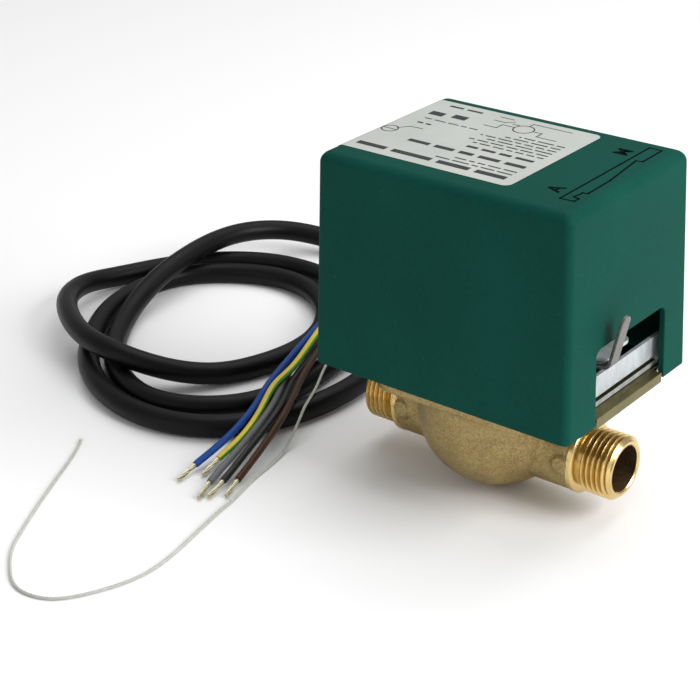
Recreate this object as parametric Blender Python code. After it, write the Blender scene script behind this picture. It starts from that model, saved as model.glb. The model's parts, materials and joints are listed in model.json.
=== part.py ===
"""Motorised zone valve: a brass two-port valve with a spring-return motor head and its loose lead.

Row frame: the origin is the middle of the inlet port's end face, +X runs along the pipe to the
outlet, and +Z runs up through the motor head. Sizes are in millimetres and become metres in MM.
"""

import math

import bmesh
import bpy
import numpy as np
from mathutils import Vector

MM = 0.001
GAP = 0.3

# Driving dimensions: the pipe thread is G 1/2, and the rest follows from it.
THREAD_DIAMETER = 20.955
THREAD_PITCH = 1.814
PIPE_LENGTH = 94.0
BORE_RADIUS = 7.5
CENTRE = PIPE_LENGTH / 2
BOWL_RADIUS = 25.7
BOWL_MIDDLE = 7.6
FLOOR = BOWL_MIDDLE - BOWL_RADIUS
NECK_HALF = 10.8
NECK_CORNER = 9.0
COVER_BOTTOM = 22.8
COVER_HEIGHT = 70.2
COVER_LENGTH = 93.8
COVER_WIDTH = 68.6
COVER_CORNER = 2.6
COVER_TAPER = (2.28, 1.77)
COVER_WALL = 2.0
PLATE_BOTTOM = 22.8
PLATE_TOP = 24.8
STEM = (45.0, 11.0)
STEM_RADIUS = 2.5
SECTOR_TEETH = 40
PINION_TEETH = 10
SECTOR_MODULE = 1.0
WHEEL_TEETH = 40
ROTOR_TEETH = 10
WHEEL_MODULE = 0.5
MESH_ANGLE = 225.0
ROTOR_ANGLE = 30.0
CORD_DIAMETER = 8.0
CORE_DIAMETER = 2.4
THREAD_CORD_DIAMETER = 1.0
INNER_WIRE_DIAMETER = 1.6
BARE_LENGTH = 8.6
BARE_DIAMETER = 1.5
GLAND = (25.0, 32.6)

# The valve: its flange, seat and the small screws that the sheet parts share.
FLANGE_LOW = 17.7
FLANGE_HALF = (30.0, 30.5)
FLANGE_SCREW_REACH = 24.0
FLANGE_SCREWS = [
    (CENTRE + sx * FLANGE_SCREW_REACH, sy * FLANGE_SCREW_REACH) for sx in (-1, 1) for sy in (-1, 1)
]
FLANGE_SCREW_HOLE = 2.2
CAVITY_RADIUS = 21.5
SEAT_FACE = 31.5
SMALL_SCREW_HOLE = 1.8

# The chassis: a base plate, a folded sheet bracket and what is screwed to them.
SHEET = 1.2
SHEET_LOW = PLATE_TOP + GAP
BRACKET_REAR = CENTRE - 41.5
BRACKET_FRONT = CENTRE + 42.5
BRACKET_TOP = 59.2
BRACKET_SCREWS = [(BRACKET_REAR + 5.5, -9.0), (BRACKET_FRONT - 5.5, -9.0)]
EARTH_SCREW = (60.0, 22.5)
CLAMP_SCREW = (36.0, 18.0)
COVER_SCREW_HEIGHT = 40.0
MOTOR_RADIUS = 24.0
MOTOR_WALL = 0.9
MOTOR_LOW = BRACKET_TOP + GAP
MOTOR_HIGH = 78.0
MOTOR_SCREW_REACH = 20.5

# The levels of the moving sheet parts, and the end switch that they press.
SECTOR_LOW = 41.3
SECTOR_THICKNESS = 2.6
LEVER_LOW = 39.2
LEVER_FRONT = CENTRE + 44.5
RIVET = (85.0, -8.0)
FINGER_MIDDLE = -11.5
FINGER_HALF = 1.8
SWITCH_LOW = (66.0, -22.6, 32.3)
SWITCH_HIGH = (86.0, -12.3, 38.7)
SWITCH_SCREW_PLACES = (69.0, 77.0)
SWITCH_SCREW_LINE = -17.5
SWITCH_HINGE = (66.8, -11.3)
BUTTON = (80.0, 35.5)

ORIGIN = (0.0, 0.0, 0.0)


def polar(centre, radius, degrees):
    """The point this far from centre in plan, at an angle from +X."""
    angle = math.radians(degrees)
    return (centre[0] + radius * math.cos(angle), centre[1] + radius * math.sin(angle))


SECTOR_REACH = SECTOR_MODULE * (SECTOR_TEETH + PINION_TEETH) / 2
WHEEL_REACH = WHEEL_MODULE * (WHEEL_TEETH + ROTOR_TEETH) / 2
PINION = polar(STEM, SECTOR_REACH, MESH_ANGLE)
ROTOR = polar(PINION, WHEEL_REACH, ROTOR_ANGLE)
MOTOR_SCREWS = [(ROTOR[0], ROTOR[1] + MOTOR_SCREW_REACH * side) for side in (-1, 1)]


# ---------------------------------------------------------------- materials

def material(name, colour, metallic, roughness):
    made = bpy.data.materials.new(name)
    made.use_nodes = True
    shader = made.node_tree.nodes["Principled BSDF"]
    shader.inputs["Base Color"].default_value = (*colour, 1.0)
    shader.inputs["Metallic"].default_value = metallic
    shader.inputs["Roughness"].default_value = roughness
    made.diffuse_color = (*colour, 1.0)
    return made


BRASS = ((0.42, 0.31, 0.10), 1.0, 0.35)
STEEL = ((0.55, 0.55, 0.55), 1.0, 0.30)
ZINC = ((0.50, 0.52, 0.55), 1.0, 0.25)
PASSIVATED = ((0.36, 0.30, 0.14), 1.0, 0.40)
GREEN = ((0.010, 0.070, 0.050), 0.0, 0.50)
BLACK_RUBBER = ((0.012, 0.012, 0.012), 0.0, 0.45)
BLACK_PLASTIC = ((0.02, 0.02, 0.02), 0.0, 0.40)
WHITE_PLASTIC = ((0.75, 0.75, 0.72), 0.0, 0.45)
COPPER = ((0.50, 0.20, 0.08), 1.0, 0.35)
TINNED = ((0.55, 0.50, 0.25), 1.0, 0.30)
PAPER = ((0.62, 0.64, 0.60), 0.0, 0.55)


# ---------------------------------------------------------------- objects

def put(name, bm, finish, at=ORIGIN, parent=None):
    """An object from a mesh given in the row frame, with its own origin at a chosen point."""
    bmesh.ops.recalc_face_normals(bm, faces=bm.faces)
    bmesh.ops.translate(bm, verts=bm.verts, vec=-Vector(at))
    bmesh.ops.scale(bm, verts=bm.verts, vec=(MM, MM, MM))
    mesh = bpy.data.meshes.new(name)
    bm.to_mesh(mesh)
    bm.free()
    mesh.shade_smooth()
    mesh.set_sharp_from_angle(angle=math.radians(35))
    made = bpy.data.objects.new(name, mesh)
    bpy.context.scene.collection.objects.link(made)
    made.location = Vector(at) * MM
    if parent is not None:
        made.parent = parent
        made.location = made.location - parent.location
    if finish is not None:
        mesh.materials.append(material(name, *finish))
    return made


def tool(bm, at=ORIGIN):
    """A hidden body that another object's Boolean reads."""
    made = put("tool", bm, None, at)
    made.hide_render = True
    made.display_type = "WIRE"
    return made


def boolean(target, operation, *bodies):
    for body in bodies:
        step = target.modifiers.new(operation.lower(), "BOOLEAN")
        step.operation = operation
        step.solver = "EXACT"
        step.object = tool(body)


def cut(target, *bodies):
    boolean(target, "DIFFERENCE", *bodies)


def join(target, *bodies):
    boolean(target, "UNION", *bodies)


def axis_at(name, point):
    """An empty on a joint's axis, which its moving pieces hang from."""
    made = bpy.data.objects.new(name, None)
    bpy.context.scene.collection.objects.link(made)
    made.location = Vector(point) * MM
    return made


# ---------------------------------------------------------------- shapes

PLANES = {
    "X": lambda u, v, w: (w, u, v),
    "Y": lambda u, v, w: (u, w, v),
    "Z": lambda u, v, w: (u, v, w),
}


def prism(outline, low, high, axis="Z"):
    """An outline in the plane across an axis, drawn out along that axis from low to high."""
    bm = bmesh.new()
    verts = [bm.verts.new(PLANES[axis](u, v, low)) for u, v in outline]
    face = bm.faces.new(verts)
    moved = bmesh.ops.extrude_face_region(bm, geom=[face])["geom"]
    step = Vector(PLANES[axis](0.0, 0.0, high - low))
    bmesh.ops.translate(bm, verts=[v for v in moved if isinstance(v, bmesh.types.BMVert)], vec=step)
    return bm


def block(low, high):
    outline = [(low[0], low[1]), (high[0], low[1]), (high[0], high[1]), (low[0], high[1])]
    return prism(outline, low[2], high[2])


def arc(centre, radius, start, stop, steps):
    return [polar(centre, radius, start + (stop - start) * k / steps) for k in range(steps + 1)]


def rounded(centre, half, radius, steps=4):
    """A rectangle's outline with round corners."""
    outline = []
    for k, (sx, sy) in enumerate(((1, 1), (-1, 1), (-1, -1), (1, -1))):
        corner = (centre[0] + sx * (half[0] - radius), centre[1] + sy * (half[1] - radius))
        outline += arc(corner, radius, 90 * k, 90 * k + 90, steps)
    return outline


def turned(profile, axis="Z", centre=(0.0, 0.0), segments=24):
    """A closed profile of (radius, height) pairs, spun about the axis through centre."""
    bm = bmesh.new()
    verts = []
    for radius, height in profile:
        verts.append(bm.verts.new(PLANES[axis](centre[0] + radius, centre[1], height)))
    edges = []
    for k, (radius, _) in enumerate(profile):
        after = (k + 1) % len(profile)
        if radius > 0 or profile[after][0] > 0:
            edges.append(bm.edges.new((verts[k], verts[after])))
    bmesh.ops.spin(
        bm,
        geom=verts + edges,
        cent=PLANES[axis](*centre, 0.0),
        axis=PLANES[axis](0.0, 0.0, 1.0),
        angle=2 * math.pi,
        steps=segments,
        use_merge=True,
    )
    bmesh.ops.remove_doubles(bm, verts=bm.verts, dist=0.0005)
    return bm


def rod(centre, radius, low, high, axis="Z", segments=16):
    return turned([(0, low), (radius, low), (radius, high), (0, high)], axis, centre, segments)


def ring(centre, inner, outer, low, high, axis="Z", segments=24):
    profile = [(inner, low), (outer, low), (outer, high), (inner, high)]
    return turned(profile, axis, centre, segments)


def lofted(sections):
    """Outlines of equal count at rising heights, joined into one closed body."""
    bm = bmesh.new()
    loops = [[bm.verts.new((x, y, height)) for x, y in outline] for height, outline in sections]
    count = len(loops[0])
    for below, above in zip(loops, loops[1:]):
        for k in range(count):
            after = (k + 1) % count
            bm.faces.new((below[k], below[after], above[after], above[k]))
    bm.faces.new(loops[0][::-1])
    bm.faces.new(loops[-1])
    return bm


def screw(name, centre, seat, head_radius, head, shank_radius, shank, axis="Z", out=1, finish=STEEL):
    """A pan-head screw whose head stands out of seat and whose shank goes the other way."""
    profile = [
        (0, seat + out * head),
        (head_radius * 0.7, seat + out * head),
        (head_radius, seat + out * head * 0.55),
        (head_radius, seat),
        (shank_radius, seat),
        (shank_radius, seat - out * shank),
        (0, seat - out * shank),
    ]
    made = put(name, turned(profile, axis, centre, 16), finish)
    slot_half = 0.35
    slot_depth = 0.8
    low = seat + out * (head - slot_depth)
    high = seat + out * (head + 1)
    outline = rounded(centre, (head_radius * 0.8, slot_half), 0.1, 1)
    cut(made, prism(outline, min(low, high), max(low, high), axis))
    return made


def gear_outline(teeth, module, centre, phase, first=0, last=None):
    """Trapezoid teeth with backlash: tooth number 0 points along the phase angle."""
    pitch_radius = module * teeth / 2
    step = 360 / teeth
    levels = ((-1.15, 0.30), (0.85, 0.11))
    outline = []
    for k in range(first, teeth if last is None else last):
        middle = phase + k * step
        for rise, share in levels:
            outline.append(polar(centre, pitch_radius + rise * module, middle - share * step))
        for rise, share in reversed(levels):
            outline.append(polar(centre, pitch_radius + rise * module, middle + share * step))
    return outline


# ---------------------------------------------------------------- cords

def smooth_route(points, count):
    """Evenly spaced points on one natural cubic curve through the route's own points."""
    route = np.array(points, float)
    chords = np.linalg.norm(np.diff(route, axis=0), axis=1)
    knots = np.concatenate([[0.0], np.cumsum(np.sqrt(chords))])
    gaps = np.diff(knots)
    size = len(route)
    system = np.eye(size)
    right = np.zeros((size, 3))
    for k in range(1, size - 1):
        system[k, k - 1] = gaps[k - 1]
        system[k, k] = 2 * (gaps[k - 1] + gaps[k])
        system[k, k + 1] = gaps[k]
        slope_after = (route[k + 1] - route[k]) / gaps[k]
        slope_before = (route[k] - route[k - 1]) / gaps[k - 1]
        right[k] = 6 * (slope_after - slope_before)
    bend = np.linalg.solve(system, right)
    fine = np.linspace(0, knots[-1], 40 * size)
    span = np.clip(np.searchsorted(knots, fine) - 1, 0, size - 2)
    gap = gaps[span][:, None]
    before = (knots[span + 1] - fine)[:, None]
    after = (fine - knots[span])[:, None]
    curve = (bend[span] * before**3 + bend[span + 1] * after**3) / (6 * gap)
    curve += (route[span] / gap - bend[span] * gap / 6) * before
    curve += (route[span + 1] / gap - bend[span + 1] * gap / 6) * after
    lengths = np.concatenate([[0.0], np.cumsum(np.linalg.norm(np.diff(curve, axis=0), axis=1))])
    even = np.linspace(0, lengths[-1], count)
    return np.stack([np.interp(even, lengths, curve[:, axis]) for axis in range(3)], axis=1)


def tube(name, points, diameter, finish, resolution=2):
    curve = bpy.data.curves.new(name, "CURVE")
    curve.dimensions = "3D"
    curve.bevel_depth = diameter / 2 * MM
    curve.bevel_resolution = resolution
    curve.use_fill_caps = True
    spline = curve.splines.new("POLY")
    spline.points.add(len(points) - 1)
    for place, (x, y, z) in zip(spline.points, points):
        place.co = (x * MM, y * MM, z * MM, 1.0)
    made = bpy.data.objects.new(name, curve)
    bpy.context.scene.collection.objects.link(made)
    curve.materials.append(material(name, *finish))
    return made


def laid(route):
    """A route given as (x, y, height over the surface that the lead lies on)."""
    return [(x, y, FLOOR + height) for x, y, height in route]


# ---------------------------------------------------------------- valve

def quarter_round(radius, steps):
    """A bowl's (radius, height) pairs, from its lowest point up to its widest."""
    pairs = [(0, BOWL_MIDDLE - radius)]
    for k in range(1, steps + 1):
        angle = math.radians(90 * k / steps)
        pairs.append((radius * math.sin(angle), BOWL_MIDDLE - radius * math.cos(angle)))
    return pairs


def port_profile(face, way):
    """One threaded port end, as (radius, x) pairs from the end face to inside the neck."""
    crest = THREAD_DIAMETER / 2
    root = crest - 1.16
    profile = [(0, 0.0), (9.4, 0.0), (root + 0.3, 0.7)]
    for turn in range(5):
        start = 1.0 + turn * THREAD_PITCH
        profile += [(crest, start + 0.7), (root, start + 1.5)]
    profile += [(crest, 10.3), (9.0, 10.6), (9.0, 12.5), (11.4, 12.6), (11.4, 14.6), (9.6, 18.0), (0, 18.0)]
    return [(radius, face + way * depth) for radius, depth in profile]


def valve_body():
    bowl = quarter_round(BOWL_RADIUS, 8)
    bowl += [(BOWL_RADIUS, FLANGE_LOW + 0.5), (0, FLANGE_LOW + 0.5)]
    body = put("valve_body", turned(bowl, "Z", (CENTRE, 0), 36), BRASS, at=(CENTRE, 0, 0))
    neck_start = 14.4
    neck_outline = rounded((0, 0), (NECK_HALF, NECK_HALF), NECK_CORNER)
    neck = prism(neck_outline, neck_start, PIPE_LENGTH - neck_start, "X")
    flange = prism(rounded((CENTRE, 0), FLANGE_HALF, 9.0), FLANGE_LOW, PLATE_BOTTOM - GAP)
    join(body, neck, flange)
    for face, way in ((0.0, 1), (PIPE_LENGTH, -1)):
        join(body, turned(port_profile(face, way), "X", (0, 0), 28))
    pad_height = 0.8
    pad_reach = 30.5
    for x in (CENTRE - pad_reach, CENTRE + pad_reach):
        for side in (1, -1):
            inner = side * (NECK_HALF - 2)
            outer = side * (NECK_HALF + 0.9)
            join(body, rod((x, pad_height), 3.0, min(inner, outer), max(inner, outer), "Y"))
    ledge = 18.6
    mouth_radius = 23.0
    above = PLATE_BOTTOM + 1.2
    cavity = quarter_round(CAVITY_RADIUS, 6)
    cavity += [(CAVITY_RADIUS, ledge), (mouth_radius, ledge), (mouth_radius, above), (0, above)]
    cut(body, turned(cavity, "Z", (CENTRE, 0), 24))
    cut(body, rod((0, 0), BORE_RADIUS, -1, PIPE_LENGTH + 1, "X", 24))
    seat_pocket = 9.3
    cut(body, rod((0, 0), seat_pocket, 24.0, 40.0, "X", 24))
    for place in FLANGE_SCREWS:
        cut(body, rod(place, FLANGE_SCREW_HOLE, FLANGE_LOW + 0.7, above))


def valve_inside():
    put("inlet_seat_ring", ring((0, 0), 6.2, 9.0, 24.3, SEAT_FACE, "X", 28), STEEL)
    bonnet = [(0, 14.5), (21.2, 14.5), (21.2, 15.7), (19.3, 15.7), (19.3, 17.9), (21.2, 17.9)]
    bonnet += [(21.2, 18.9), (22.6, 18.9), (22.6, 22.2), (0, 22.2)]
    plate = put("bonnet_plate", turned(bonnet, "Z", (CENTRE, 0), 32), BRASS)
    cut(plate, rod(STEM, 4.5, 14, 23))
    section = arc((20.4, 16.8), 0.8, 0, 300, 5)
    put("bonnet_o_ring", turned(section, "Z", (CENTRE, 0), 32), BLACK_RUBBER)
    bush = [(2.8, 14.9), (4.2, 14.9), (4.2, 22.5), (6.0, 22.5), (6.0, 23.7), (2.8, 23.7)]
    put("stem_bush", turned(bush, "Z", STEM, 20), BRASS)


def valve_moving(axis):
    at = (*STEM, 0)
    stem = [(0, -5.5), (STEM_RADIUS - 0.5, -5.5), (STEM_RADIUS, -5.0), (STEM_RADIUS, 47.5)]
    stem += [(STEM_RADIUS - 0.5, 48.0), (0, 48.0)]
    put("valve_stem", turned(stem, "Z", STEM, 20), STEEL, at, axis)
    arm_back = 38.2
    hub = ring(STEM, STEM_RADIUS + GAP, 5.0, -3.5, 3.5, segments=20)
    arm = put("paddle_arm", hub, BRASS, at, axis)
    join(arm, prism([(36.8, -2.5), (39.5, -2.5), (43.5, 7.8), (40.8, 9.2), (36.8, 2.5)], -3.2, 3.2))
    join(arm, rod((0, 0), 5.5, 36.7, arm_back, "X"))
    join(arm, rod((0, 0), 1.5, 34.6, arm_back - 0.5, "X", 12))
    plug = [(0, 31.8), (6.0, 31.8), (7.2, 33.0), (7.2, 36.4), (1.8, 36.4), (1.8, 34.2), (0, 34.2)]
    put("rubber_plug", turned(plug, "X", (0, 0), 24), BLACK_RUBBER, at, axis)


# ---------------------------------------------------------------- chassis

def base_plate():
    sheet = prism(rounded((CENTRE, 0), (43.3, 31.0), 4.0), PLATE_BOTTOM, PLATE_TOP)
    plate = put("base_plate", sheet, PASSIVATED)
    tab_low = CENTRE + 41.0
    tab_high = CENTRE + 46.7
    join(plate, block((tab_low, -17.7, PLATE_BOTTOM + 0.1), (tab_high, 19.7, PLATE_TOP)))
    join(plate, block((tab_high - 1.2, -17.7, PLATE_BOTTOM - 1.2), (tab_high, 19.7, PLATE_TOP - 0.4)))
    for place in FLANGE_SCREWS:
        cut(plate, rod(place, FLANGE_SCREW_HOLE, 20, 30))
    cut(plate, rod(STEM, 6.5, 20, 30, segments=20))
    for place in BRACKET_SCREWS + [EARTH_SCREW, CLAMP_SCREW]:
        cut(plate, rod(place, 1.6, 20, 30, segments=12))
    for number, place in enumerate(FLANGE_SCREWS, 1):
        screw(f"plate_screw_{number}", place, SHEET_LOW, 3.6, 2.2, 1.9, 6.2)


def motor_bracket():
    low = SHEET_LOW
    foot = 8.5
    outline = [
        (BRACKET_REAR, low),
        (BRACKET_REAR + foot, low),
        (BRACKET_REAR + foot, low + SHEET),
        (BRACKET_REAR + SHEET, low + SHEET),
        (BRACKET_REAR + SHEET, BRACKET_TOP - SHEET),
        (BRACKET_FRONT - SHEET, BRACKET_TOP - SHEET),
        (BRACKET_FRONT - SHEET, low + SHEET),
        (BRACKET_FRONT - foot, low + SHEET),
        (BRACKET_FRONT - foot, low),
        (BRACKET_FRONT, low),
        (BRACKET_FRONT, BRACKET_TOP),
        (BRACKET_REAR, BRACKET_TOP),
    ]
    bracket = put("motor_bracket", prism(outline, -24.0, 29.6, "Y"), ZINC)
    # The front leg is open for the lever's travel, above and below a tongue that it slides over.
    tongue_low = 28.3
    tongue_high = 35.3
    tongue_start = -12.0
    cut(bracket, block((80.0, -16.0, tongue_high), (95.0, 27.4, 49.0)))
    cut(bracket, block((84.0, -16.0, 26.7), (95.0, tongue_start, tongue_high + 0.7)))
    cut(bracket, block((84.0, tongue_start - 0.5, 26.7), (95.0, 23.0, tongue_low)))
    # The rear corner is open for the lead.
    cut(bracket, block((-1.0, 14.0, 20.0), (45.0, 40.0, 62.0)))
    cut(bracket, rod(ROTOR, 4.0, 50, 65))
    for place in [PINION, *MOTOR_SCREWS]:
        cut(bracket, rod(place, 1.5, 50, 65, segments=12))
    for place in BRACKET_SCREWS:
        cut(bracket, rod(place, SMALL_SCREW_HOLE, 20, 30, segments=12))
    cut(bracket, rod((0.0, COVER_SCREW_HEIGHT), SMALL_SCREW_HOLE, 0, 10, "X", 12))
    for number, place in enumerate(BRACKET_SCREWS, 1):
        screw(f"bracket_screw_{number}", place, low + SHEET + GAP, 2.7, 1.7, 1.3, 3.4)


def motor():
    low, top = MOTOR_LOW, MOTOR_HIGH
    inner = MOTOR_RADIUS - MOTOR_WALL
    can = [(inner, low + 2.2), (MOTOR_RADIUS, low + 2.2)]
    can += [(MOTOR_RADIUS, top - 1.5), (MOTOR_RADIUS - 1.5, top), (0, top)]
    can += [(0, top - MOTOR_WALL), (inner, top - MOTOR_WALL)]
    put("motor_can", turned(can, "Z", ROTOR, 36), ZINC)
    lid = [(3.5, low), (MOTOR_RADIUS, low), (MOTOR_RADIUS, low + 1.9), (3.5, low + 1.9)]
    plate = put("motor_plate", turned(lid, "Z", ROTOR, 36), ZINC)
    for place in MOTOR_SCREWS:
        cut(plate, rod(place, 1.5, low - 1, low + 3, segments=12))
    cut(plate, rod(PINION, 1.6, low - 1, low + 0.9, segments=12))
    put("motor_coil", ring(ROTOR, 11.0, 22.6, low + 2.6, top - 2.5, segments=28), COPPER)
    under = BRACKET_TOP - SHEET - GAP
    for number, place in enumerate(MOTOR_SCREWS, 1):
        screw(f"motor_screw_{number}", place, under, 2.4, 1.6, 1.2, 3.4, out=-1)


def rotor(axis):
    spindle = 1.0
    magnet_radius = 9.8
    magnet = [(0, 76.0), (spindle, 76.0), (spindle, 74.6), (magnet_radius, 74.6)]
    magnet += [(magnet_radius, 62.8), (spindle, 62.8), (spindle, 52.6), (0, 52.6)]
    made = put("motor_rotor", turned(magnet, "Z", ROTOR, 24), BLACK_PLASTIC, (*ROTOR, 0), axis)
    phase = ROTOR_ANGLE + 180 + 180 / ROTOR_TEETH
    join(made, prism(gear_outline(ROTOR_TEETH, WHEEL_MODULE, ROTOR, phase), 52.8, 56.8))


def reduction_gear(axis):
    wheel = prism(gear_outline(WHEEL_TEETH, WHEEL_MODULE, PINION, ROTOR_ANGLE), 53.6, 55.6)
    made = put("reduction_gear", wheel, WHITE_PLASTIC, (*PINION, 0), axis)
    join(made, rod(PINION, 3.4, 44.0, 54.6))
    phase = MESH_ANGLE + 180 + 180 / PINION_TEETH
    join(made, prism(gear_outline(PINION_TEETH, SECTOR_MODULE, PINION, phase), 40.6, 44.8))
    cut(made, rod(PINION, 1.5, 35, 65, segments=12))


def gear_post():
    shoulder = 40.3
    top = 60.0
    profile = [(0, SHEET_LOW), (3.2, SHEET_LOW), (3.2, shoulder), (1.2, shoulder), (1.2, top), (0, top)]
    put("gear_post", turned(profile, "Z", PINION, 16), STEEL)


def sector(axis):
    """The toothed quadrant on the stem, driven by the reduction gear."""
    at = (*STEM, 0)
    teeth = gear_outline(SECTOR_TEETH, SECTOR_MODULE, STEM, MESH_ANGLE, -5, 3)
    outline = teeth + arc(STEM, 6.5, MESH_ANGLE + 60, MESH_ANGLE + 290, 14)
    made = put("sector_gear", prism(outline, SECTOR_LOW, SECTOR_LOW + SECTOR_THICKNESS), STEEL, at, axis)
    cut(made, rod(STEM, STEM_RADIUS + GAP, 35, 50))


def manual_lever(axis):
    """A flat lever on the stem, with a finger bent up and out through the cover's window."""
    at = (*STEM, 0)
    front = LEVER_FRONT
    outline = arc(STEM, 7.0, 70, 260, 12)
    outline += [(66.0, -4.5)]
    outline += arc((front - 2.0, -11.3), 2.0, 270, 360, 3)
    outline += [(front, -5.0), (front - 1.5, -1.0), (front - 2.1, 2.0)]
    outline += arc((front - 5.1, 5.0), 3.0, 0, 90, 4)
    outline += [(66.0, 12.0)]
    made = put("manual_lever", prism(outline, LEVER_LOW, LEVER_LOW + SHEET), ZINC, at, axis)
    finger = [
        (front - 1.5, LEVER_LOW + 0.1),
        (front + 1.8, LEVER_LOW + 0.1),
        (front + 3.3, LEVER_LOW + 1.6),
        (front + 7.2, LEVER_LOW + 17.9),
        (front + 6.2, LEVER_LOW + 18.1),
        (front + 2.4, LEVER_LOW + 2.2),
        (front + 1.4, LEVER_LOW + 1.1),
        (front - 1.5, LEVER_LOW + 1.1),
    ]
    join(made, prism(finger, FINGER_MIDDLE - FINGER_HALF, FINGER_MIDDLE + FINGER_HALF, "Y"))
    cut(made, rod(STEM, STEM_RADIUS + GAP, 35, 50))
    cut(made, rod(RIVET, SMALL_SCREW_HOLE, 35, 50))
    pin = [(0, 35.9), (1.5, 35.9), (1.5, 40.7), (2.5, 40.7), (2.5, 41.6), (0, 42.0)]
    put("lever_rivet", turned(pin, "Z", RIVET, 16), STEEL, at, axis)


def return_spring(axis):
    turns = 5
    per_turn = 11
    radius = 5.4
    low = 27.2
    rise = 10.2
    count = turns * per_turn
    points = []
    for k in range(count + 1):
        x, y = polar((0, 0), radius, 360 * k / per_turn)
        points.append((x, y, low + rise * k / count))
    made = tube("return_spring", points, 1.0, STEEL, 1)
    made.parent = axis


# ---------------------------------------------------------------- switch

def microswitch(arm_axis, button_axis):
    low, high = SWITCH_LOW, SWITCH_HIGH
    case = put("switch_case", block(low, high), BLACK_PLASTIC)
    cut(case, rod(BUTTON, 1.3, high[1] - 3.5, high[1] + 1, "Y", 12))
    for x in SWITCH_SCREW_PLACES:
        cut(case, rod((x, SWITCH_SCREW_LINE), 1.4, 30, 40, segments=12))
    put("switch_post", block((67.0, -19.8, SHEET_LOW), (79.3, -13.0, low[2] - GAP)), BLACK_PLASTIC)
    for number, x in enumerate(SWITCH_SCREW_PLACES, 1):
        place = (x, SWITCH_SCREW_LINE)
        screw(f"switch_screw_{number}", place, high[2] + GAP, 2.0, 1.2, 1.1, 6.6, finish=ZINC)
    button = rod(BUTTON, 1.0, high[1] - 3.2, high[1] + 1.2, "Y", 12)
    put("switch_button", button, WHITE_PLASTIC, (BUTTON[0], high[1], BUTTON[1]), button_axis)
    at = (*SWITCH_HINGE, BUTTON[1])
    arm = put("switch_arm", rod(SWITCH_HINGE, 0.75, 33.5, 37.5, segments=12), STEEL, at, arm_axis)
    join(arm, block((SWITCH_HINGE[0], -10.9, 33.6), (86.5, -10.5, 37.4)))


# ---------------------------------------------------------------- cover

def cover_sections(inset, bottom, top, edge_radius):
    """Outlines of the tapered box, from its rim to its rounded top edge."""
    sections = []

    def outline(height, shrink):
        share = max(0.0, (height - COVER_BOTTOM) / COVER_HEIGHT)
        half_x = COVER_LENGTH / 2 - inset - COVER_TAPER[0] * share - shrink
        half_y = COVER_WIDTH / 2 - inset - COVER_TAPER[1] * share - shrink
        radius = max(1.2, COVER_CORNER - inset - shrink * 0.5)
        return height, rounded((CENTRE, 0), (half_x, half_y), radius, 5)

    sections.append(outline(bottom, 0.0))
    sections.append(outline(top - edge_radius, 0.0))
    steps = 4
    for k in range(1, steps + 1):
        angle = math.radians(90 * k / steps)
        height = top - edge_radius * (1 - math.sin(angle))
        sections.append(outline(height, edge_radius * (1 - math.cos(angle))))
    return sections


def cover():
    top = COVER_BOTTOM + COVER_HEIGHT
    made = put("cover", lofted(cover_sections(0.0, COVER_BOTTOM, top, 3.6)), GREEN)
    cut(made, lofted(cover_sections(COVER_WALL, COVER_BOTTOM - 5, top - COVER_WALL, 1.8)))
    window_top = COVER_BOTTOM + 24.3
    window = [(-18.5, 15.0), (20.5, 15.0)]
    window += arc((17.5, window_top - 3.0), 3.0, 0, 90, 4)
    window += arc((-15.5, window_top - 3.0), 3.0, 90, 180, 4)
    cut(made, prism(window, CENTRE + 36.0, CENTRE + 60.0, "X"))
    cut(made, rod(GLAND, 5.9, 25, 40, "Y", 20))
    cut(made, rod((0.0, COVER_SCREW_HEIGHT), 1.9, -5, 10, "X", 12))
    screw("cover_screw", (0.0, COVER_SCREW_HEIGHT), 0.2, 3.2, 1.8, 1.5, 8.5, "X", out=-1)
    label_low = (CENTRE - 42.8, -24.5)
    label_high = (CENTRE + 18.2, 27.5)
    height = top + GAP
    put("rating_label", block((*label_low, height), (*label_high, height + 0.2)), PAPER)


# ---------------------------------------------------------------- lead

CORD_ROUTE = [
    (25, 56.9, 50.7), (25, 70, 50), (22, 88, 45.5), (11, 103, 36.5), (-8, 109, 26.5), (-27, 101, 19),
    (-38.5, 83, 14.8), (-42, 64, 12.7), (-42, 43, 8), (-41, 20, 4), (-40.5, 0, 4), (-45, -16.5, 4),
    (-57.5, -29.5, 4), (-75, -35, 4), (-92.5, -30.5, 4), (-109.5, -19, 4), (-123, -3, 4),
    (-131.5, 13, 5.9), (-135, 29, 9.9), (-136.5, 46, 12.5), (-138, 64, 12.9), (-136, 82, 12.1),
    (-126, 98, 9.9), (-108, 107.5, 6.4), (-85, 107, 4), (-62, 93, 4), (-42, 70, 4), (-29, 43, 4),
    (-24, 14, 4), (-27, -10, 4), (-37, -30, 4), (-54, -42, 4), (-75, -44.5, 4), (-95, -39.5, 4),
    (-113, -28.5, 4), (-128, -12, 4), (-140, 9, 4), (-143.5, 30, 4), (-139, 48, 4), (-125, 62, 4),
    (-105, 69.5, 4), (-85, 66, 4), (-68, 52, 4), (-59, 32, 4), (-60, 12, 4), (-69, -8, 4.6),
    (-83, -22.5, 8.9), (-100, -28.5, 12.8), (-119, -25, 13), (-137, -15, 12.1), (-151, -2, 10.4),
    (-158.5, 14, 7.9), (-158, 31, 5.1), (-151, 50, 4), (-137, 67.5, 4), (-117, 79, 4),
    (-97, 80.5, 4.4), (-79, 74.5, 6.5), (-66.5, 64, 10), (-59.5, 53.5, 12), (-55, 44, 12.4),
]

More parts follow.
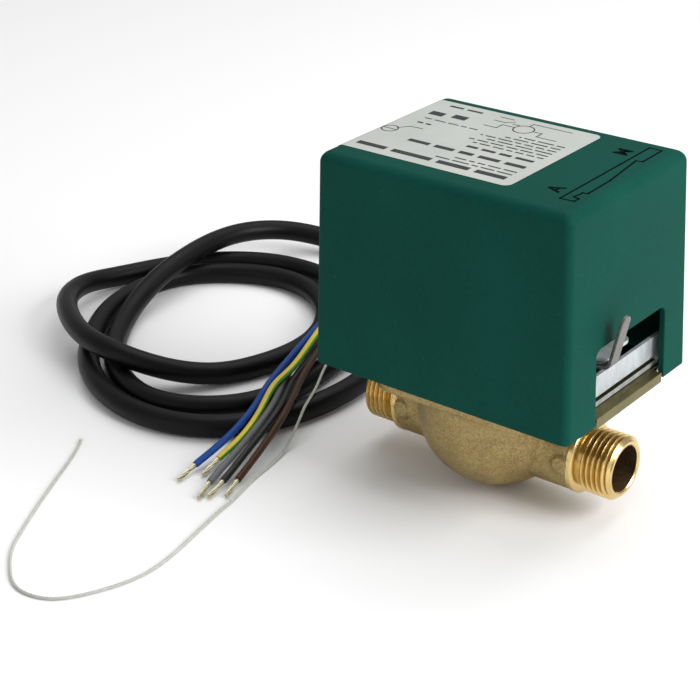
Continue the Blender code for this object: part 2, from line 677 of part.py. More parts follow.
CORE_ROUTES = {
    "blue": [
        (-56.8, 42.4, 13.1), (-50.5, 20, 12), (-43.9, -2, 11), (-39.8, -14.3, 10.2), (-34, -27.5, 9.8),
        (-31.6, -44, 6.4), (-33, -56.5, 2.6), (-32.4, -66, 1.2),
    ],
    "green_yellow": [
        (-54.7, 43.2, 14.8), (-47.2, 21.2, 13.8), (-39.7, -0.5, 12.4), (-36.7, -13.2, 11.9),
        (-31.3, -26.5, 9.8), (-28.2, -41, 6.1), (-29.2, -50.5, 2.7), (-28.1, -58.8, 1.2),
    ],
    "grey": [
        (-55.9, 42.6, 10.5), (-48.7, 20.7, 9.9), (-41.2, -1, 9.7), (-35.2, -12.6, 9.7),
        (-28.6, -25.6, 9.7), (-25.2, -44, 5.4), (-22.7, -60, 2.2), (-19.3, -70.3, 1.2),
    ],
    "black": [
        (-53.3, 43.8, 10.5), (-45.6, 21.8, 9.9), (-38.2, 0, 9.7), (-32.5, -11.7, 9.7),
        (-25.9, -24.7, 9.7), (-21.9, -44, 5.4), (-18.7, -59.8, 2.2), (-17.3, -68, 1.2),
    ],
    "brown": [
        (-52.5, 44.2, 13.1), (-43.9, 22.4, 12.1), (-35.4, 1, 10.8), (-29.7, -10.8, 10),
        (-23.1, -23.8, 9.8), (-18.8, -41, 5.4), (-16, -54.8, 2.2), (-13, -64.3, 1.2),
    ],
}

CORE_FINISHES = {
    "blue": ((0.02, 0.08, 0.35), 0.0, 0.4),
    "green_yellow": ((0.60, 0.50, 0.04), 0.0, 0.4),
    "grey": ((0.14, 0.14, 0.15), 0.0, 0.4),
    "black": ((0.015, 0.015, 0.02), 0.0, 0.4),
    "brown": ((0.07, 0.03, 0.015), 0.0, 0.4),
}

FILLER_ROUTE = [
    (-51.6, 44.4, 11.6), (-47, 37, 11.3), (-40, 24, 10.3), (-34.8, 12, 9.3), (-30.7, 4, 9),
    (-26.4, -4.4, 8.9), (-22.5, -14, 8.3), (-19.4, -22, 5.6), (-17.4, -30, 2), (-15.6, -38, 0.7),
    (-13.4, -52, 0.6), (-10.5, -64, 0.6), (-8.8, -74, 0.6), (-3.5, -100, 0.6), (-4, -116, 0.6),
    (-10, -130, 0.6), (-17, -137.5, 0.6), (-28, -139, 0.6), (-38, -133, 0.6), (-45, -126, 0.6),
    (-51, -116.5, 0.6), (-63, -94, 0.6), (-72.5, -75, 0.6), (-77, -67.5, 0.6),
]


def cable_gland():
    """A rubber bush clipped in the cover's wall, with a tapered sleeve that limits the bend."""
    wall = COVER_WIDTH / 2
    neck = 5.6
    mouth = 56.6
    profile = [(0, wall - 5.6), (7.0, wall - 5.6), (7.0, wall - 2.7), (neck, wall - 2.7)]
    profile += [(neck, wall + 0.1), (7.6, wall + 0.1), (7.6, wall + 2.4), (6.4, wall + 3.0)]
    profile += [(4.9, mouth), (0, mouth)]
    put("cable_gland", turned(profile, "Y", GLAND, 20), BLACK_RUBBER)


def inner_wires():
    """Each wire's colour and route, from the stripped end of the lead to the part that it feeds."""
    x, z = GLAND
    start = 13.6
    motor_x, motor_y = ROTOR[0] - 12.0, ROTOR[1] + 21.8
    motor_height = 66.0
    live = [(x - 1, start, z + 2.7), (x - 8, 12, z + 8), (x - 9, 18, 46), (x - 4, 26, 60)]
    live += [(motor_x + 3.4, motor_y + 3.0, motor_height)]
    neutral = [(x - 3, start, z + 0.2), (x - 12, 12, z + 6), (x - 13, 18, 46), (x - 9, 25.5, 60)]
    neutral += [(motor_x - 1.6, motor_y + 0.8, motor_height)]
    common = [(x + 1.8, start, z + 1.4), (x + 8, 8, z + 2.5), (37, 1, 36), (50, -6, 35.5)]
    common += [(60, -11, 35.8), (64.5, -14.5, 36.4), (65.5, -15.5, 36.4)]
    contact = [(x + 2.9, start, z - 0.3), (x + 7, 7, z - 1.2), (34, -2.5, 32), (48, -10.5, 31)]
    contact += [(58, -15.5, 32.5), (64, -18.6, 34.2), (65.5, -19.5, 34.2)]
    earth = [(x + 0.4, start, z - 2.7), (30, 12.4, 29.6), (37, 17.3, 30.6), (44, 19.8, 28.6)]
    earth += [(49.7, 22.4, 26.6)]
    return {
        "motor_wire_live": ("brown", live),
        "motor_wire_neutral": ("blue", neutral),
        "switch_wire_common": ("black", common),
        "switch_wire_contact": ("grey", contact),
        "earth_wire": ("green_yellow", earth),
    }


def cable_inside():
    """The lead's end inside the cover, its clamp, the earth tag and the five inner wires."""
    x, z = GLAND
    tube("inner_cable", [(x, 27.9, z), (x, 14.5, z)], CORD_DIAMETER, BLACK_RUBBER, 3)
    low = SHEET_LOW
    clamp_low = CLAMP_SCREW[1] - 2.0
    clamp_high = CLAMP_SCREW[1] + 1.8
    bore = CORD_DIAMETER / 2 + GAP
    foot = block((x - 5.0, clamp_low - 0.8, low), (CLAMP_SCREW[0] + 4.0, clamp_high + 0.2, low + 1.2))
    clamp = put("cable_clamp", foot, WHITE_PLASTIC)
    join(clamp, ring((x, z), bore, bore + 2.6, clamp_low, clamp_high, "Y", 20))
    cut(clamp, rod(CLAMP_SCREW, 1.5, 20, 30, segments=12))
    screw("clamp_screw", CLAMP_SCREW, low + 1.2 + GAP, 2.7, 1.7, 1.3, 3.6)
    tag = put("earth_tag", prism(rounded((58.0, 22.5), (7.0, 3.4), 1.5, 2), low, low + 0.8), ZINC)
    cut(tag, rod(EARTH_SCREW, 1.8, 20, 30, segments=12))
    screw("earth_screw", EARTH_SCREW, low + 0.8 + GAP, 2.7, 1.7, 1.3, 3.4, finish=BRASS)
    for name, (colour, route) in inner_wires().items():
        tube(name, smooth_route(route, 12), INNER_WIRE_DIAMETER, CORE_FINISHES[colour], 1)


def resting(points, diameter):
    """The same points, none so low that the cord would sink into what it lies on."""
    points[:, 2] = np.maximum(points[:, 2], FLOOR + diameter / 2)
    return points


def lead():
    sheath = resting(smooth_route(laid(CORD_ROUTE), 80), CORD_DIAMETER)
    tube("lead_sheath", sheath, CORD_DIAMETER, BLACK_RUBBER, 3)
    for colour, route in CORE_ROUTES.items():
        whole = resting(smooth_route(laid(route), 400), CORE_DIAMETER)
        to_end = np.linalg.norm(whole - whole[-1], axis=1)
        covered = whole[to_end > BARE_LENGTH + GAP]
        picked = np.linspace(0, len(covered) - 1, 16).astype(int)
        tube(f"core_{colour}", covered[picked], CORE_DIAMETER, CORE_FINISHES[colour])
        strand_start = whole[to_end < BARE_LENGTH][0]
        tube(f"bare_end_{colour}", [strand_start, whole[-1]], BARE_DIAMETER, TINNED)
    filler = resting(smooth_route(laid(FILLER_ROUTE), 72), THREAD_CORD_DIAMETER)
    tube("filler_thread", filler, THREAD_CORD_DIAMETER, WHITE_PLASTIC)


# ---------------------------------------------------------------- the model

for leftover in list(bpy.data.objects):
    bpy.data.objects.remove(leftover, do_unlink=True)

stem_axis = axis_at("stem_axis", (*STEM, 0))
gear_axis = axis_at("gear_axis", (*PINION, 0))
rotor_axis = axis_at("rotor_axis", (*ROTOR, 0))
switch_hinge_axis = axis_at("switch_hinge_axis", (*SWITCH_HINGE, BUTTON[1]))
button_slide_axis = axis_at("button_slide_axis", (BUTTON[0], SWITCH_HIGH[1], BUTTON[1]))

valve_body()
valve_inside()
valve_moving(stem_axis)
base_plate()
motor_bracket()
motor()
rotor(rotor_axis)
reduction_gear(gear_axis)
gear_post()
sector(stem_axis)
manual_lever(stem_axis)
return_spring(stem_axis)
microswitch(switch_hinge_axis, button_slide_axis)
cover()
cable_gland()
cable_inside()
lead()
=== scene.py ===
"""The finished look of a motorised zone valve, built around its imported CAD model. Metres, +Z up."""

import json
import math
import random

import bmesh
import bpy
import numpy as np
from mathutils import Euler, Matrix, Vector

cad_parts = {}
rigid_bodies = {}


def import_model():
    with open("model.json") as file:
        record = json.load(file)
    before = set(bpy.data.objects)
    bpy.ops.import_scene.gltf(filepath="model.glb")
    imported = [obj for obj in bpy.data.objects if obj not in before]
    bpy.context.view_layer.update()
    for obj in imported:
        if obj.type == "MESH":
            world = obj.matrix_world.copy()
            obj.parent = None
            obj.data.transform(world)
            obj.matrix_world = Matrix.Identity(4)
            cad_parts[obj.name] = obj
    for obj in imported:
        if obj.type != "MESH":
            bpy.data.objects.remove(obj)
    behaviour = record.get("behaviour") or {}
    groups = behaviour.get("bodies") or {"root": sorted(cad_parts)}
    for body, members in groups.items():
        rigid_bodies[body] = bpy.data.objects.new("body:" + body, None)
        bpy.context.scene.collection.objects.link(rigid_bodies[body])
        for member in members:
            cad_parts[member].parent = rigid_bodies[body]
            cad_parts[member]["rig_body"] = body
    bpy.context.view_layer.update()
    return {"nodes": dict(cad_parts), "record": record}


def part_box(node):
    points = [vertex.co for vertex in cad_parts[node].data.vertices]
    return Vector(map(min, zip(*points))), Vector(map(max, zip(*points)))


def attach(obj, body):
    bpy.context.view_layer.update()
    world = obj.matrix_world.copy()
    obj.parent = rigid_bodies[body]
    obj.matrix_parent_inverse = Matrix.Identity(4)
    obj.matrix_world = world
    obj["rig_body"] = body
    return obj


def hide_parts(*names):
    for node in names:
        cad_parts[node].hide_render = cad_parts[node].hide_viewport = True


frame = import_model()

nodes = frame["nodes"]
scene = bpy.context.scene

# ---------------------------------------------------------------- camera, floor and light
# A plain pale floor that the valve's round bowl and its lead lie on. A soft light stands to the
# right, a wider and weaker one above, a faint one in front, and a pale world fills the shadows.

CAMERA_LENS = 91.1
CAMERA_PLACE = (0.325915, -0.412687, 0.275212)
CAMERA_DOWN, CAMERA_HEADING, CAMERA_ROLL = 26.49, 39.43, -1.45

scene.view_settings.view_transform = "Standard"
camera_data = bpy.data.cameras.new("camera")
camera_data.sensor_width = 36.0
camera_data.lens = CAMERA_LENS
camera_data.clip_start = 0.01
camera = bpy.data.objects.new("camera", camera_data)
camera_turn = Euler((math.radians(90 - CAMERA_DOWN), 0, math.radians(CAMERA_HEADING))).to_matrix()
camera_turn = camera_turn @ Matrix.Rotation(math.radians(CAMERA_ROLL), 3, "Z")
camera.matrix_world = Matrix.Translation(CAMERA_PLACE) @ camera_turn.to_4x4()
scene.collection.objects.link(camera)
scene.camera = camera

floor_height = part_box("valve_body")[0].z
bm = bmesh.new()
bmesh.ops.create_grid(bm, x_segments=1, y_segments=1, size=3.0)
bmesh.ops.translate(bm, verts=bm.verts, vec=(0, 0, floor_height))
floor_mesh = bpy.data.meshes.new("floor")
bm.to_mesh(floor_mesh)
bm.free()
floor = bpy.data.objects.new("floor", floor_mesh)
scene.collection.objects.link(floor)
floor_finish = bpy.data.materials.new("pale floor")
floor_finish.use_nodes = True
floor_shader = floor_finish.node_tree.nodes["Principled BSDF"]
floor_shader.inputs["Base Color"].default_value = (0.93, 0.93, 0.93, 1)
floor_shader.inputs["Roughness"].default_value = 0.8
floor_shader.inputs["Specular IOR Level"].default_value = 0.1
floor_mesh.materials.append(floor_finish)

world = bpy.data.worlds.new("studio")
world.use_nodes = True
world.node_tree.nodes["Background"].inputs["Color"].default_value = (1, 1, 1, 1)
world.node_tree.nodes["Background"].inputs["Strength"].default_value = 0.42
scene.world = world
aim = Vector((0.02, 0.0, 0.03))
for name, place, size, watts in [
    ("key", (0.95, 0.15, 0.60), 0.6, 11.5),
    ("top", (-0.1, 0.45, 1.2), 1.2, 8.0),
    ("front", (-0.25, -1.0, 0.35), 0.6, 1.0),
]:
    light_data = bpy.data.lights.new(name, "AREA")
    light_data.size = size
    light_data.energy = watts
    light = bpy.data.objects.new(name, light_data)
    light.location = place
    light.rotation_euler = (Vector(place) - aim).to_track_quat("Z", "Y").to_euler()
    scene.collection.objects.link(light)


# ---------------------------------------------------------------- lead
# A round black five-core cable, its end stripped. It leaves the gland, falls to the floor and lies
# in loose turns. Its sheath is extruded rubber, with faint draw lines and scuffs along it.

def group_socket(tree, name, kind, into, value=None):
    socket = tree.interface.new_socket(name=name, in_out=into, socket_type=kind)
    if value is not None:
        socket.default_value = value


def new_group(name, inputs, outputs):
    """A shader group with named sockets, and its first and last node."""
    tree = bpy.data.node_groups.new(name, "ShaderNodeTree")
    for label, kind, value in inputs:
        group_socket(tree, label, kind, "INPUT", value)
    for label, kind in outputs:
        group_socket(tree, label, kind, "OUTPUT")
    return tree, tree.nodes.new("NodeGroupInput"), tree.nodes.new("NodeGroupOutput")


COLOUR, NUMBER, VECTOR = "NodeSocketColor", "NodeSocketFloat", "NodeSocketVector"

# Mottle: two sizes of grain. The coarse one mixes two colours and two roughnesses, and both
# together make the height.
mottle, take, give = new_group(
    "mottle",
    [("Vector", VECTOR, None), ("Coarse", NUMBER, 60.0), ("Fine", NUMBER, 900.0),
     ("Low Colour", COLOUR, (0, 0, 0, 1)), ("High Colour", COLOUR, (1, 1, 1, 1)),
     ("Low Roughness", NUMBER, 0.3), ("High Roughness", NUMBER, 0.5), ("Fine Share", NUMBER, 0.5)],
    [("Colour", COLOUR), ("Roughness", NUMBER), ("Height", NUMBER)],
)
link = mottle.links.new
coarse = mottle.nodes.new("ShaderNodeTexNoise")
coarse.inputs["Detail"].default_value = 5.0
fine = mottle.nodes.new("ShaderNodeTexNoise")
fine.inputs["Detail"].default_value = 3.0
for grain, size in ((coarse, "Coarse"), (fine, "Fine")):
    link(take.outputs["Vector"], grain.inputs["Vector"])
    link(take.outputs[size], grain.inputs["Scale"])
both = mottle.nodes.new("ShaderNodeMix")
link(take.outputs["Fine Share"], both.inputs["Factor"])
link(coarse.outputs["Fac"], both.inputs["A"])
link(fine.outputs["Fac"], both.inputs["B"])
spread = mottle.nodes.new("ShaderNodeMapRange")
spread.inputs["From Min"].default_value = 0.36
spread.inputs["From Max"].default_value = 0.64
link(both.outputs["Result"], spread.inputs["Value"])
blend = mottle.nodes.new("ShaderNodeMix")
blend.data_type = "RGBA"
link(spread.outputs["Result"], blend.inputs["Factor"])
link(take.outputs["Low Colour"], blend.inputs["A"])
link(take.outputs["High Colour"], blend.inputs["B"])
rough = mottle.nodes.new("ShaderNodeMapRange")
link(coarse.outputs["Fac"], rough.inputs["Value"])
rough.inputs["From Min"].default_value = 0.3
rough.inputs["From Max"].default_value = 0.7
link(take.outputs["Low Roughness"], rough.inputs["To Min"])
link(take.outputs["High Roughness"], rough.inputs["To Max"])
link(blend.outputs["Result"], give.inputs["Colour"])
link(rough.outputs["Result"], give.inputs["Roughness"])
link(both.outputs["Result"], give.inputs["Height"])


def finish_of(
    name, low, high, rough, grain, bump=0.1, metallic=0.0, specular=0.5, stretch=(1, 1, 1), uv=False,
):
    """A material of mottled colour, roughness and height. grain is its coarse scale, fine scale and
    the fine one's share, and stretch pulls the grain out along an axis."""
    made = bpy.data.materials.new(name)
    made.use_nodes = True
    tree = made.node_tree
    shader = tree.nodes["Principled BSDF"]
    place = tree.nodes.new("ShaderNodeTexCoord")
    mapping = tree.nodes.new("ShaderNodeMapping")
    mapping.inputs["Scale"].default_value = stretch
    tree.links.new(place.outputs["UV" if uv else "Object"], mapping.inputs["Vector"])
    pattern = tree.nodes.new("ShaderNodeGroup")
    pattern.node_tree = mottle
    pattern.name = "mottle"
    tree.links.new(mapping.outputs["Vector"], pattern.inputs["Vector"])
    for label, value in (("Coarse", grain[0]), ("Fine", grain[1]), ("Fine Share", grain[2]),
                         ("Low Roughness", rough[0]), ("High Roughness", rough[1])):
        pattern.inputs[label].default_value = value
    pattern.inputs["Low Colour"].default_value = (*low, 1)
    pattern.inputs["High Colour"].default_value = (*high, 1)
    relief = tree.nodes.new("ShaderNodeBump")
    relief.name = "relief"
    relief.inputs["Strength"].default_value = bump
    relief.inputs["Distance"].default_value = 0.0005
    tree.links.new(pattern.outputs["Height"], relief.inputs["Height"])
    tree.links.new(pattern.outputs["Colour"], shader.inputs["Base Color"])
    tree.links.new(pattern.outputs["Roughness"], shader.inputs["Roughness"])
    tree.links.new(relief.outputs["Normal"], shader.inputs["Normal"])
    shader.inputs["Metallic"].default_value = metallic
    shader.inputs["Specular IOR Level"].default_value = specular
    return made


def smooth_route(points, spacing):
    """Points at an even spacing along a natural cubic spline through the given ones."""
    knots = np.array(points, float)
    chord = np.linalg.norm(np.diff(knots, axis=0), axis=1)
    at = np.concatenate([[0], np.cumsum(np.sqrt(chord))])
    step = np.diff(at)
    count = len(knots)
    system = np.eye(count)
    right = np.zeros((count, 3))
    for k in range(1, count - 1):
        system[k, k - 1:k + 2] = (step[k - 1], 2 * (step[k - 1] + step[k]), step[k])
        slope = (knots[k + 1] - knots[k]) / step[k] - (knots[k] - knots[k - 1]) / step[k - 1]
        right[k] = 6 * slope
    bend = np.linalg.solve(system, right)
    dense = []
    for k in range(count - 1):
        for t in np.linspace(0, step[k], 40, endpoint=False):
            left = step[k] - t
            dense.append(
                (bend[k] * left ** 3 + bend[k + 1] * t ** 3) / (6 * step[k])
                + (knots[k] / step[k] - bend[k] * step[k] / 6) * left
                + (knots[k + 1] / step[k] - bend[k + 1] * step[k] / 6) * t
            )
    dense.append(knots[-1])
    dense = np.array(dense)
    along = np.concatenate([[0], np.cumsum(np.linalg.norm(np.diff(dense, axis=0), axis=1))])
    even = np.linspace(0, along[-1], max(2, round(along[-1] / spacing)) + 1)
    return np.stack([np.interp(even, along, dense[:, axis]) for axis in range(3)], axis=1)


def length_of(path):
    return float(np.linalg.norm(np.diff(path, axis=0), axis=1).sum())


def sides_along(path):
    """Two directions square to the path at each of its points, carried along it without twist."""
    ahead = np.gradient(path, axis=0)
    ahead /= np.linalg.norm(ahead, axis=1)[:, None]
    across = np.cross(ahead[0], (0, 0, 1))
    if np.linalg.norm(across) < 0.1:
        across = np.cross(ahead[0], (1, 0, 0))
    first = []
    for direction in ahead:
        across = across - direction * np.dot(across, direction)
        across = across / np.linalg.norm(across)
        first.append(across)
    first = np.array(first)
    return first, np.cross(ahead, first)


def swept(bm, path, radii, sides, start_cap=True, end_cap=True):
    """Adds a round tube along the path. Its UV is metres round it and metres along it."""
    uv = bm.loops.layers.uv.verify()
    first, second = sides_along(path)
    radii = np.broadcast_to(radii, len(path))
    along = np.concatenate([[0], np.cumsum(np.linalg.norm(np.diff(path, axis=0), axis=1))])
    rings = []
    for point, a, b, radius in zip(path, first, second, radii):
        ring = []
        for k in range(sides):
            angle = 2 * math.pi * k / sides
            ring.append(bm.verts.new(point + radius * (a * math.cos(angle) + b * math.sin(angle))))
        rings.append(ring)
    for k in range(len(rings) - 1):
        for side in range(sides):
            after = (side + 1) % sides
            face = bm.faces.new((rings[k][side], rings[k][after], rings[k + 1][after], rings[k + 1][side]))
            corners = ((side, k), (side + 1, k), (side + 1, k + 1), (side, k + 1))
            for loop, (turn, row) in zip(face.loops, corners):
                loop[uv].uv = (turn / sides, along[row])
    if start_cap:
        bm.faces.new(reversed(rings[0]))
    if end_cap:
        bm.faces.new(rings[-1])


def verts_in(geometry):
    return [item for item in geometry if isinstance(item, bmesh.types.BMVert)]


def round_the_path(first, second, angles, radius):
    """How far each point of a strand lies off the path that it winds round."""
    return (first * np.cos(angles)[:, None] + second * np.sin(angles)[:, None]) * radius


def placed(name, bm, body, finish, replaced=(), smooth=40.0, fix_normals=True):
    """Makes a piece of the bmesh: it rides on a body, and stands for the CAD nodes it replaces."""
    if fix_normals:
        bmesh.ops.recalc_face_normals(bm, faces=bm.faces)
    mesh = bpy.data.meshes.new(name)
    bm.to_mesh(mesh)
    bm.free()
    mesh.shade_smooth()
    mesh.set_sharp_from_angle(angle=math.radians(smooth))
    for one in finish if isinstance(finish, (list, tuple)) else [finish]:
        mesh.materials.append(one)
    piece = bpy.data.objects.new(name, mesh)
    scene.collection.objects.link(piece)
    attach(piece, body)
    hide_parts(*replaced)
    return piece


LEAD_ROUTE = [
    (0.025, 0.0569, 0.0507), (0.025, 0.07, 0.05), (0.022, 0.088, 0.0455), (0.011, 0.103, 0.0365),
    (-0.008, 0.109, 0.0265), (-0.027, 0.101, 0.019), (-0.0385, 0.083, 0.0148), (-0.042, 0.064, 0.0127),
    (-0.042, 0.043, 0.008), (-0.041, 0.02, 0.004), (-0.0405, 0, 0.004), (-0.045, -0.0165, 0.004),
    (-0.0575, -0.0295, 0.004), (-0.075, -0.035, 0.004), (-0.0925, -0.0305, 0.004),
    (-0.1095, -0.019, 0.004), (-0.123, -0.003, 0.004), (-0.1315, 0.013, 0.0059), (-0.135, 0.029, 0.0099),
    (-0.1365, 0.046, 0.0125), (-0.138, 0.064, 0.0129), (-0.136, 0.082, 0.0121), (-0.126, 0.098, 0.0099),
    (-0.108, 0.1075, 0.0064), (-0.085, 0.107, 0.004), (-0.062, 0.093, 0.004), (-0.042, 0.07, 0.004),
    (-0.029, 0.043, 0.004), (-0.024, 0.014, 0.004), (-0.027, -0.01, 0.004), (-0.037, -0.03, 0.004),
    (-0.054, -0.042, 0.004), (-0.075, -0.0445, 0.004), (-0.095, -0.0395, 0.004), (-0.113, -0.0285, 0.004),
    (-0.128, -0.012, 0.004), (-0.14, 0.009, 0.004), (-0.1435, 0.03, 0.004), (-0.139, 0.048, 0.004),
    (-0.125, 0.062, 0.004), (-0.105, 0.0695, 0.004), (-0.085, 0.066, 0.004), (-0.068, 0.052, 0.004),
    (-0.059, 0.032, 0.004), (-0.06, 0.012, 0.004), (-0.069, -0.008, 0.0046), (-0.083, -0.0225, 0.0089),
    (-0.1, -0.0285, 0.0128), (-0.119, -0.025, 0.013), (-0.137, -0.015, 0.0121), (-0.151, -0.002, 0.0104),
    (-0.1585, 0.014, 0.0079), (-0.158, 0.031, 0.0051), (-0.151, 0.05, 0.004), (-0.137, 0.0675, 0.004),
    (-0.117, 0.079, 0.004), (-0.097, 0.0805, 0.0044), (-0.079, 0.0745, 0.0065), (-0.0665, 0.064, 0.01),
    (-0.0595, 0.0535, 0.012), (-0.055, 0.044, 0.0124),
]
CORE_ROUTES = {
    "blue": [
        (-0.0568, 0.0424, 0.0131), (-0.0505, 0.02, 0.012), (-0.0439, -0.002, 0.011),
        (-0.0398, -0.0143, 0.0102), (-0.034, -0.0275, 0.0098), (-0.0316, -0.044, 0.0064),
        (-0.033, -0.0565, 0.0026), (-0.0324, -0.066, 0.0012),
    ],
    "green_yellow": [
        (-0.0547, 0.0432, 0.0148), (-0.0472, 0.0212, 0.0138), (-0.0397, -0.0005, 0.0124),
        (-0.0367, -0.0132, 0.0119), (-0.0313, -0.0265, 0.0098), (-0.0282, -0.041, 0.0061),
        (-0.0292, -0.0505, 0.0027), (-0.0281, -0.0588, 0.0012),
    ],
    "grey": [
        (-0.0559, 0.0426, 0.0105), (-0.0487, 0.0207, 0.0099), (-0.0412, -0.001, 0.0097),
        (-0.0352, -0.0126, 0.0097), (-0.0286, -0.0256, 0.0097), (-0.0252, -0.044, 0.0054),
        (-0.0227, -0.06, 0.0022), (-0.0193, -0.0703, 0.0012),
    ],
    "black": [
        (-0.0533, 0.0438, 0.0105), (-0.0456, 0.0218, 0.0099), (-0.0382, 0, 0.0097),
        (-0.0325, -0.0117, 0.0097), (-0.0259, -0.0247, 0.0097), (-0.0219, -0.044, 0.0054),
        (-0.0187, -0.0598, 0.0022), (-0.0173, -0.068, 0.0012),
    ],
    "brown": [
        (-0.0525, 0.0442, 0.0131), (-0.0439, 0.0224, 0.0121), (-0.0354, 0.001, 0.0108),
        (-0.0297, -0.0108, 0.01), (-0.0231, -0.0238, 0.0098), (-0.0188, -0.041, 0.0054),
        (-0.016, -0.0548, 0.0022), (-0.013, -0.0643, 0.0012),
    ],
}
FILLER_ROUTE = [
    (-0.0516, 0.0444, 0.0116), (-0.047, 0.037, 0.0113), (-0.04, 0.024, 0.0103), (-0.0348, 0.012, 0.0093),
    (-0.0307, 0.004, 0.009), (-0.0264, -0.0044, 0.0089), (-0.0225, -0.014, 0.0083),
    (-0.0194, -0.022, 0.0056), (-0.0174, -0.03, 0.002), (-0.0156, -0.038, 0.0007),
    (-0.0134, -0.052, 0.0006), (-0.0105, -0.064, 0.0006), (-0.0088, -0.074, 0.0006),
    (-0.0035, -0.1, 0.0006), (-0.004, -0.116, 0.0006), (-0.01, -0.13, 0.0006), (-0.017, -0.1375, 0.0006),
    (-0.028, -0.139, 0.0006), (-0.038, -0.133, 0.0006), (-0.045, -0.126, 0.0006),
    (-0.051, -0.1165, 0.0006), (-0.063, -0.094, 0.0006), (-0.0725, -0.075, 0.0006),
    (-0.077, -0.0675, 0.0006),
]

def laid(route):
    """The route's heights are over the floor: this puts them in the model's frame."""
    return [(x, y, height + floor_height) for x, y, height in route]


def resting(path, radius):
    """The same path, with no point so low that the cord would sink into the floor."""
    path[:, 2] = np.maximum(path[:, 2], floor_height + radius)
    return path


gland_rubber = finish_of(
    "gland rubber", (0.012, 0.012, 0.012), (0.03, 0.03, 0.028), (0.5, 0.7), (180, 2500, 0.5), 0.15,
)
sheath_rubber = finish_of(
    "cable sheath", (0.0016, 0.0016, 0.0018), (0.0042, 0.0042, 0.0044), (0.34, 0.48), (9, 60, 0.45), 0.12,
    specular=0.16,
    stretch=(6, 9, 1), uv=True,
)
SHEATH_RADIUS = 0.004
SHEATH_BORE_SHARE = 0.78
SHEATH_END_DEPTH = 0.0012
sheath_path = resting(smooth_route(laid(LEAD_ROUTE), 0.0025), SHEATH_RADIUS)
bm = bmesh.new()
end = sheath_path[-1]
back = (sheath_path[-2] - end) / np.linalg.norm(sheath_path[-2] - end)
sheath_radii = np.full(len(sheath_path), SHEATH_RADIUS)
sheath_radii[-1] = SHEATH_RADIUS - 0.0001
swept(bm, sheath_path, sheath_radii, 32, end_cap=False)
bm.verts.ensure_lookup_table()
rim = [edge for edge in bm.edges if edge.is_boundary]
lip = verts_in(bmesh.ops.extrude_edge_only(bm, edges=rim)["geom"])
for vert in lip:
    vert.co = Vector(end) + (vert.co - Vector(end)) * SHEATH_BORE_SHARE
rim = [edge for edge in bm.edges if edge.is_boundary]
inner_ring = verts_in(bmesh.ops.extrude_edge_only(bm, edges=rim)["geom"])
bmesh.ops.translate(bm, verts=inner_ring, vec=back * SHEATH_END_DEPTH)
bmesh.ops.holes_fill(bm, edges=[edge for edge in bm.edges if edge.is_boundary])
sheath = placed("lead_sheath_skin", bm, "valve", sheath_rubber, ["lead_sheath"])

# ---------------------------------------------------------------- cores and filler
# Five stranded cores with smooth PVC insulation, one of them striped, each stripped to a few
# millimetres of tinned strands. A loose twisted filler thread came out with them.

plastic_grain = (30, 700, 0.35)
core_colours = {
    "blue": ((0.004, 0.045, 0.24), (0.007, 0.065, 0.31), 0.2),
    "grey": ((0.10, 0.10, 0.11), (0.15, 0.15, 0.16), 0.3),
    "black": ((0.008, 0.008, 0.009), (0.018, 0.018, 0.02), 0.3),
    "brown": ((0.036, 0.015, 0.006), (0.060, 0.026, 0.011), 0.2),
}
core_finishes = {}
for colour, (low, high, shine) in core_colours.items():
    core_finishes[colour] = finish_of(
        colour + " insulation", low, high, (0.34, 0.46), plastic_grain, 0.08, specular=shine,
    )
STRIPE_MIDDLE = 0.45
STRIPE_HALF = 0.18


def striped_insulation():
    """Yellow insulation with a green stripe down one side, following the piece's own UV."""
    made = finish_of(
        "green and yellow insulation", (0.62, 0.46, 0.025), (0.72, 0.55, 0.04), (0.3, 0.42), plastic_grain,
        0.08,
    )
    tree = made.node_tree
    place = tree.nodes["Texture Coordinate"]
    split = tree.nodes.new("ShaderNodeSeparateXYZ")
    tree.links.new(place.outputs["UV"], split.inputs["Vector"])
    wrap = tree.nodes.new("ShaderNodeMath")
    wrap.operation = "FRACT"
    tree.links.new(split.outputs["X"], wrap.inputs[0])
    near = tree.nodes.new("ShaderNodeMath")
    near.operation = "COMPARE"
    near.inputs[1].default_value = STRIPE_MIDDLE
    near.inputs[2].default_value = STRIPE_HALF
    tree.links.new(wrap.outputs["Value"], near.inputs[0])
    mix = tree.nodes.new("ShaderNodeMix")
    mix.data_type = "RGBA"
    mix.inputs["B"].default_value = (0.06, 0.30, 0.02, 1)
    tree.links.new(near.outputs["Value"], mix.inputs["Factor"])
    tree.links.new(tree.nodes["mottle"].outputs["Colour"], mix.inputs["A"])
    tree.links.new(mix.outputs["Result"], tree.nodes["Principled BSDF"].inputs["Base Color"])
    return made


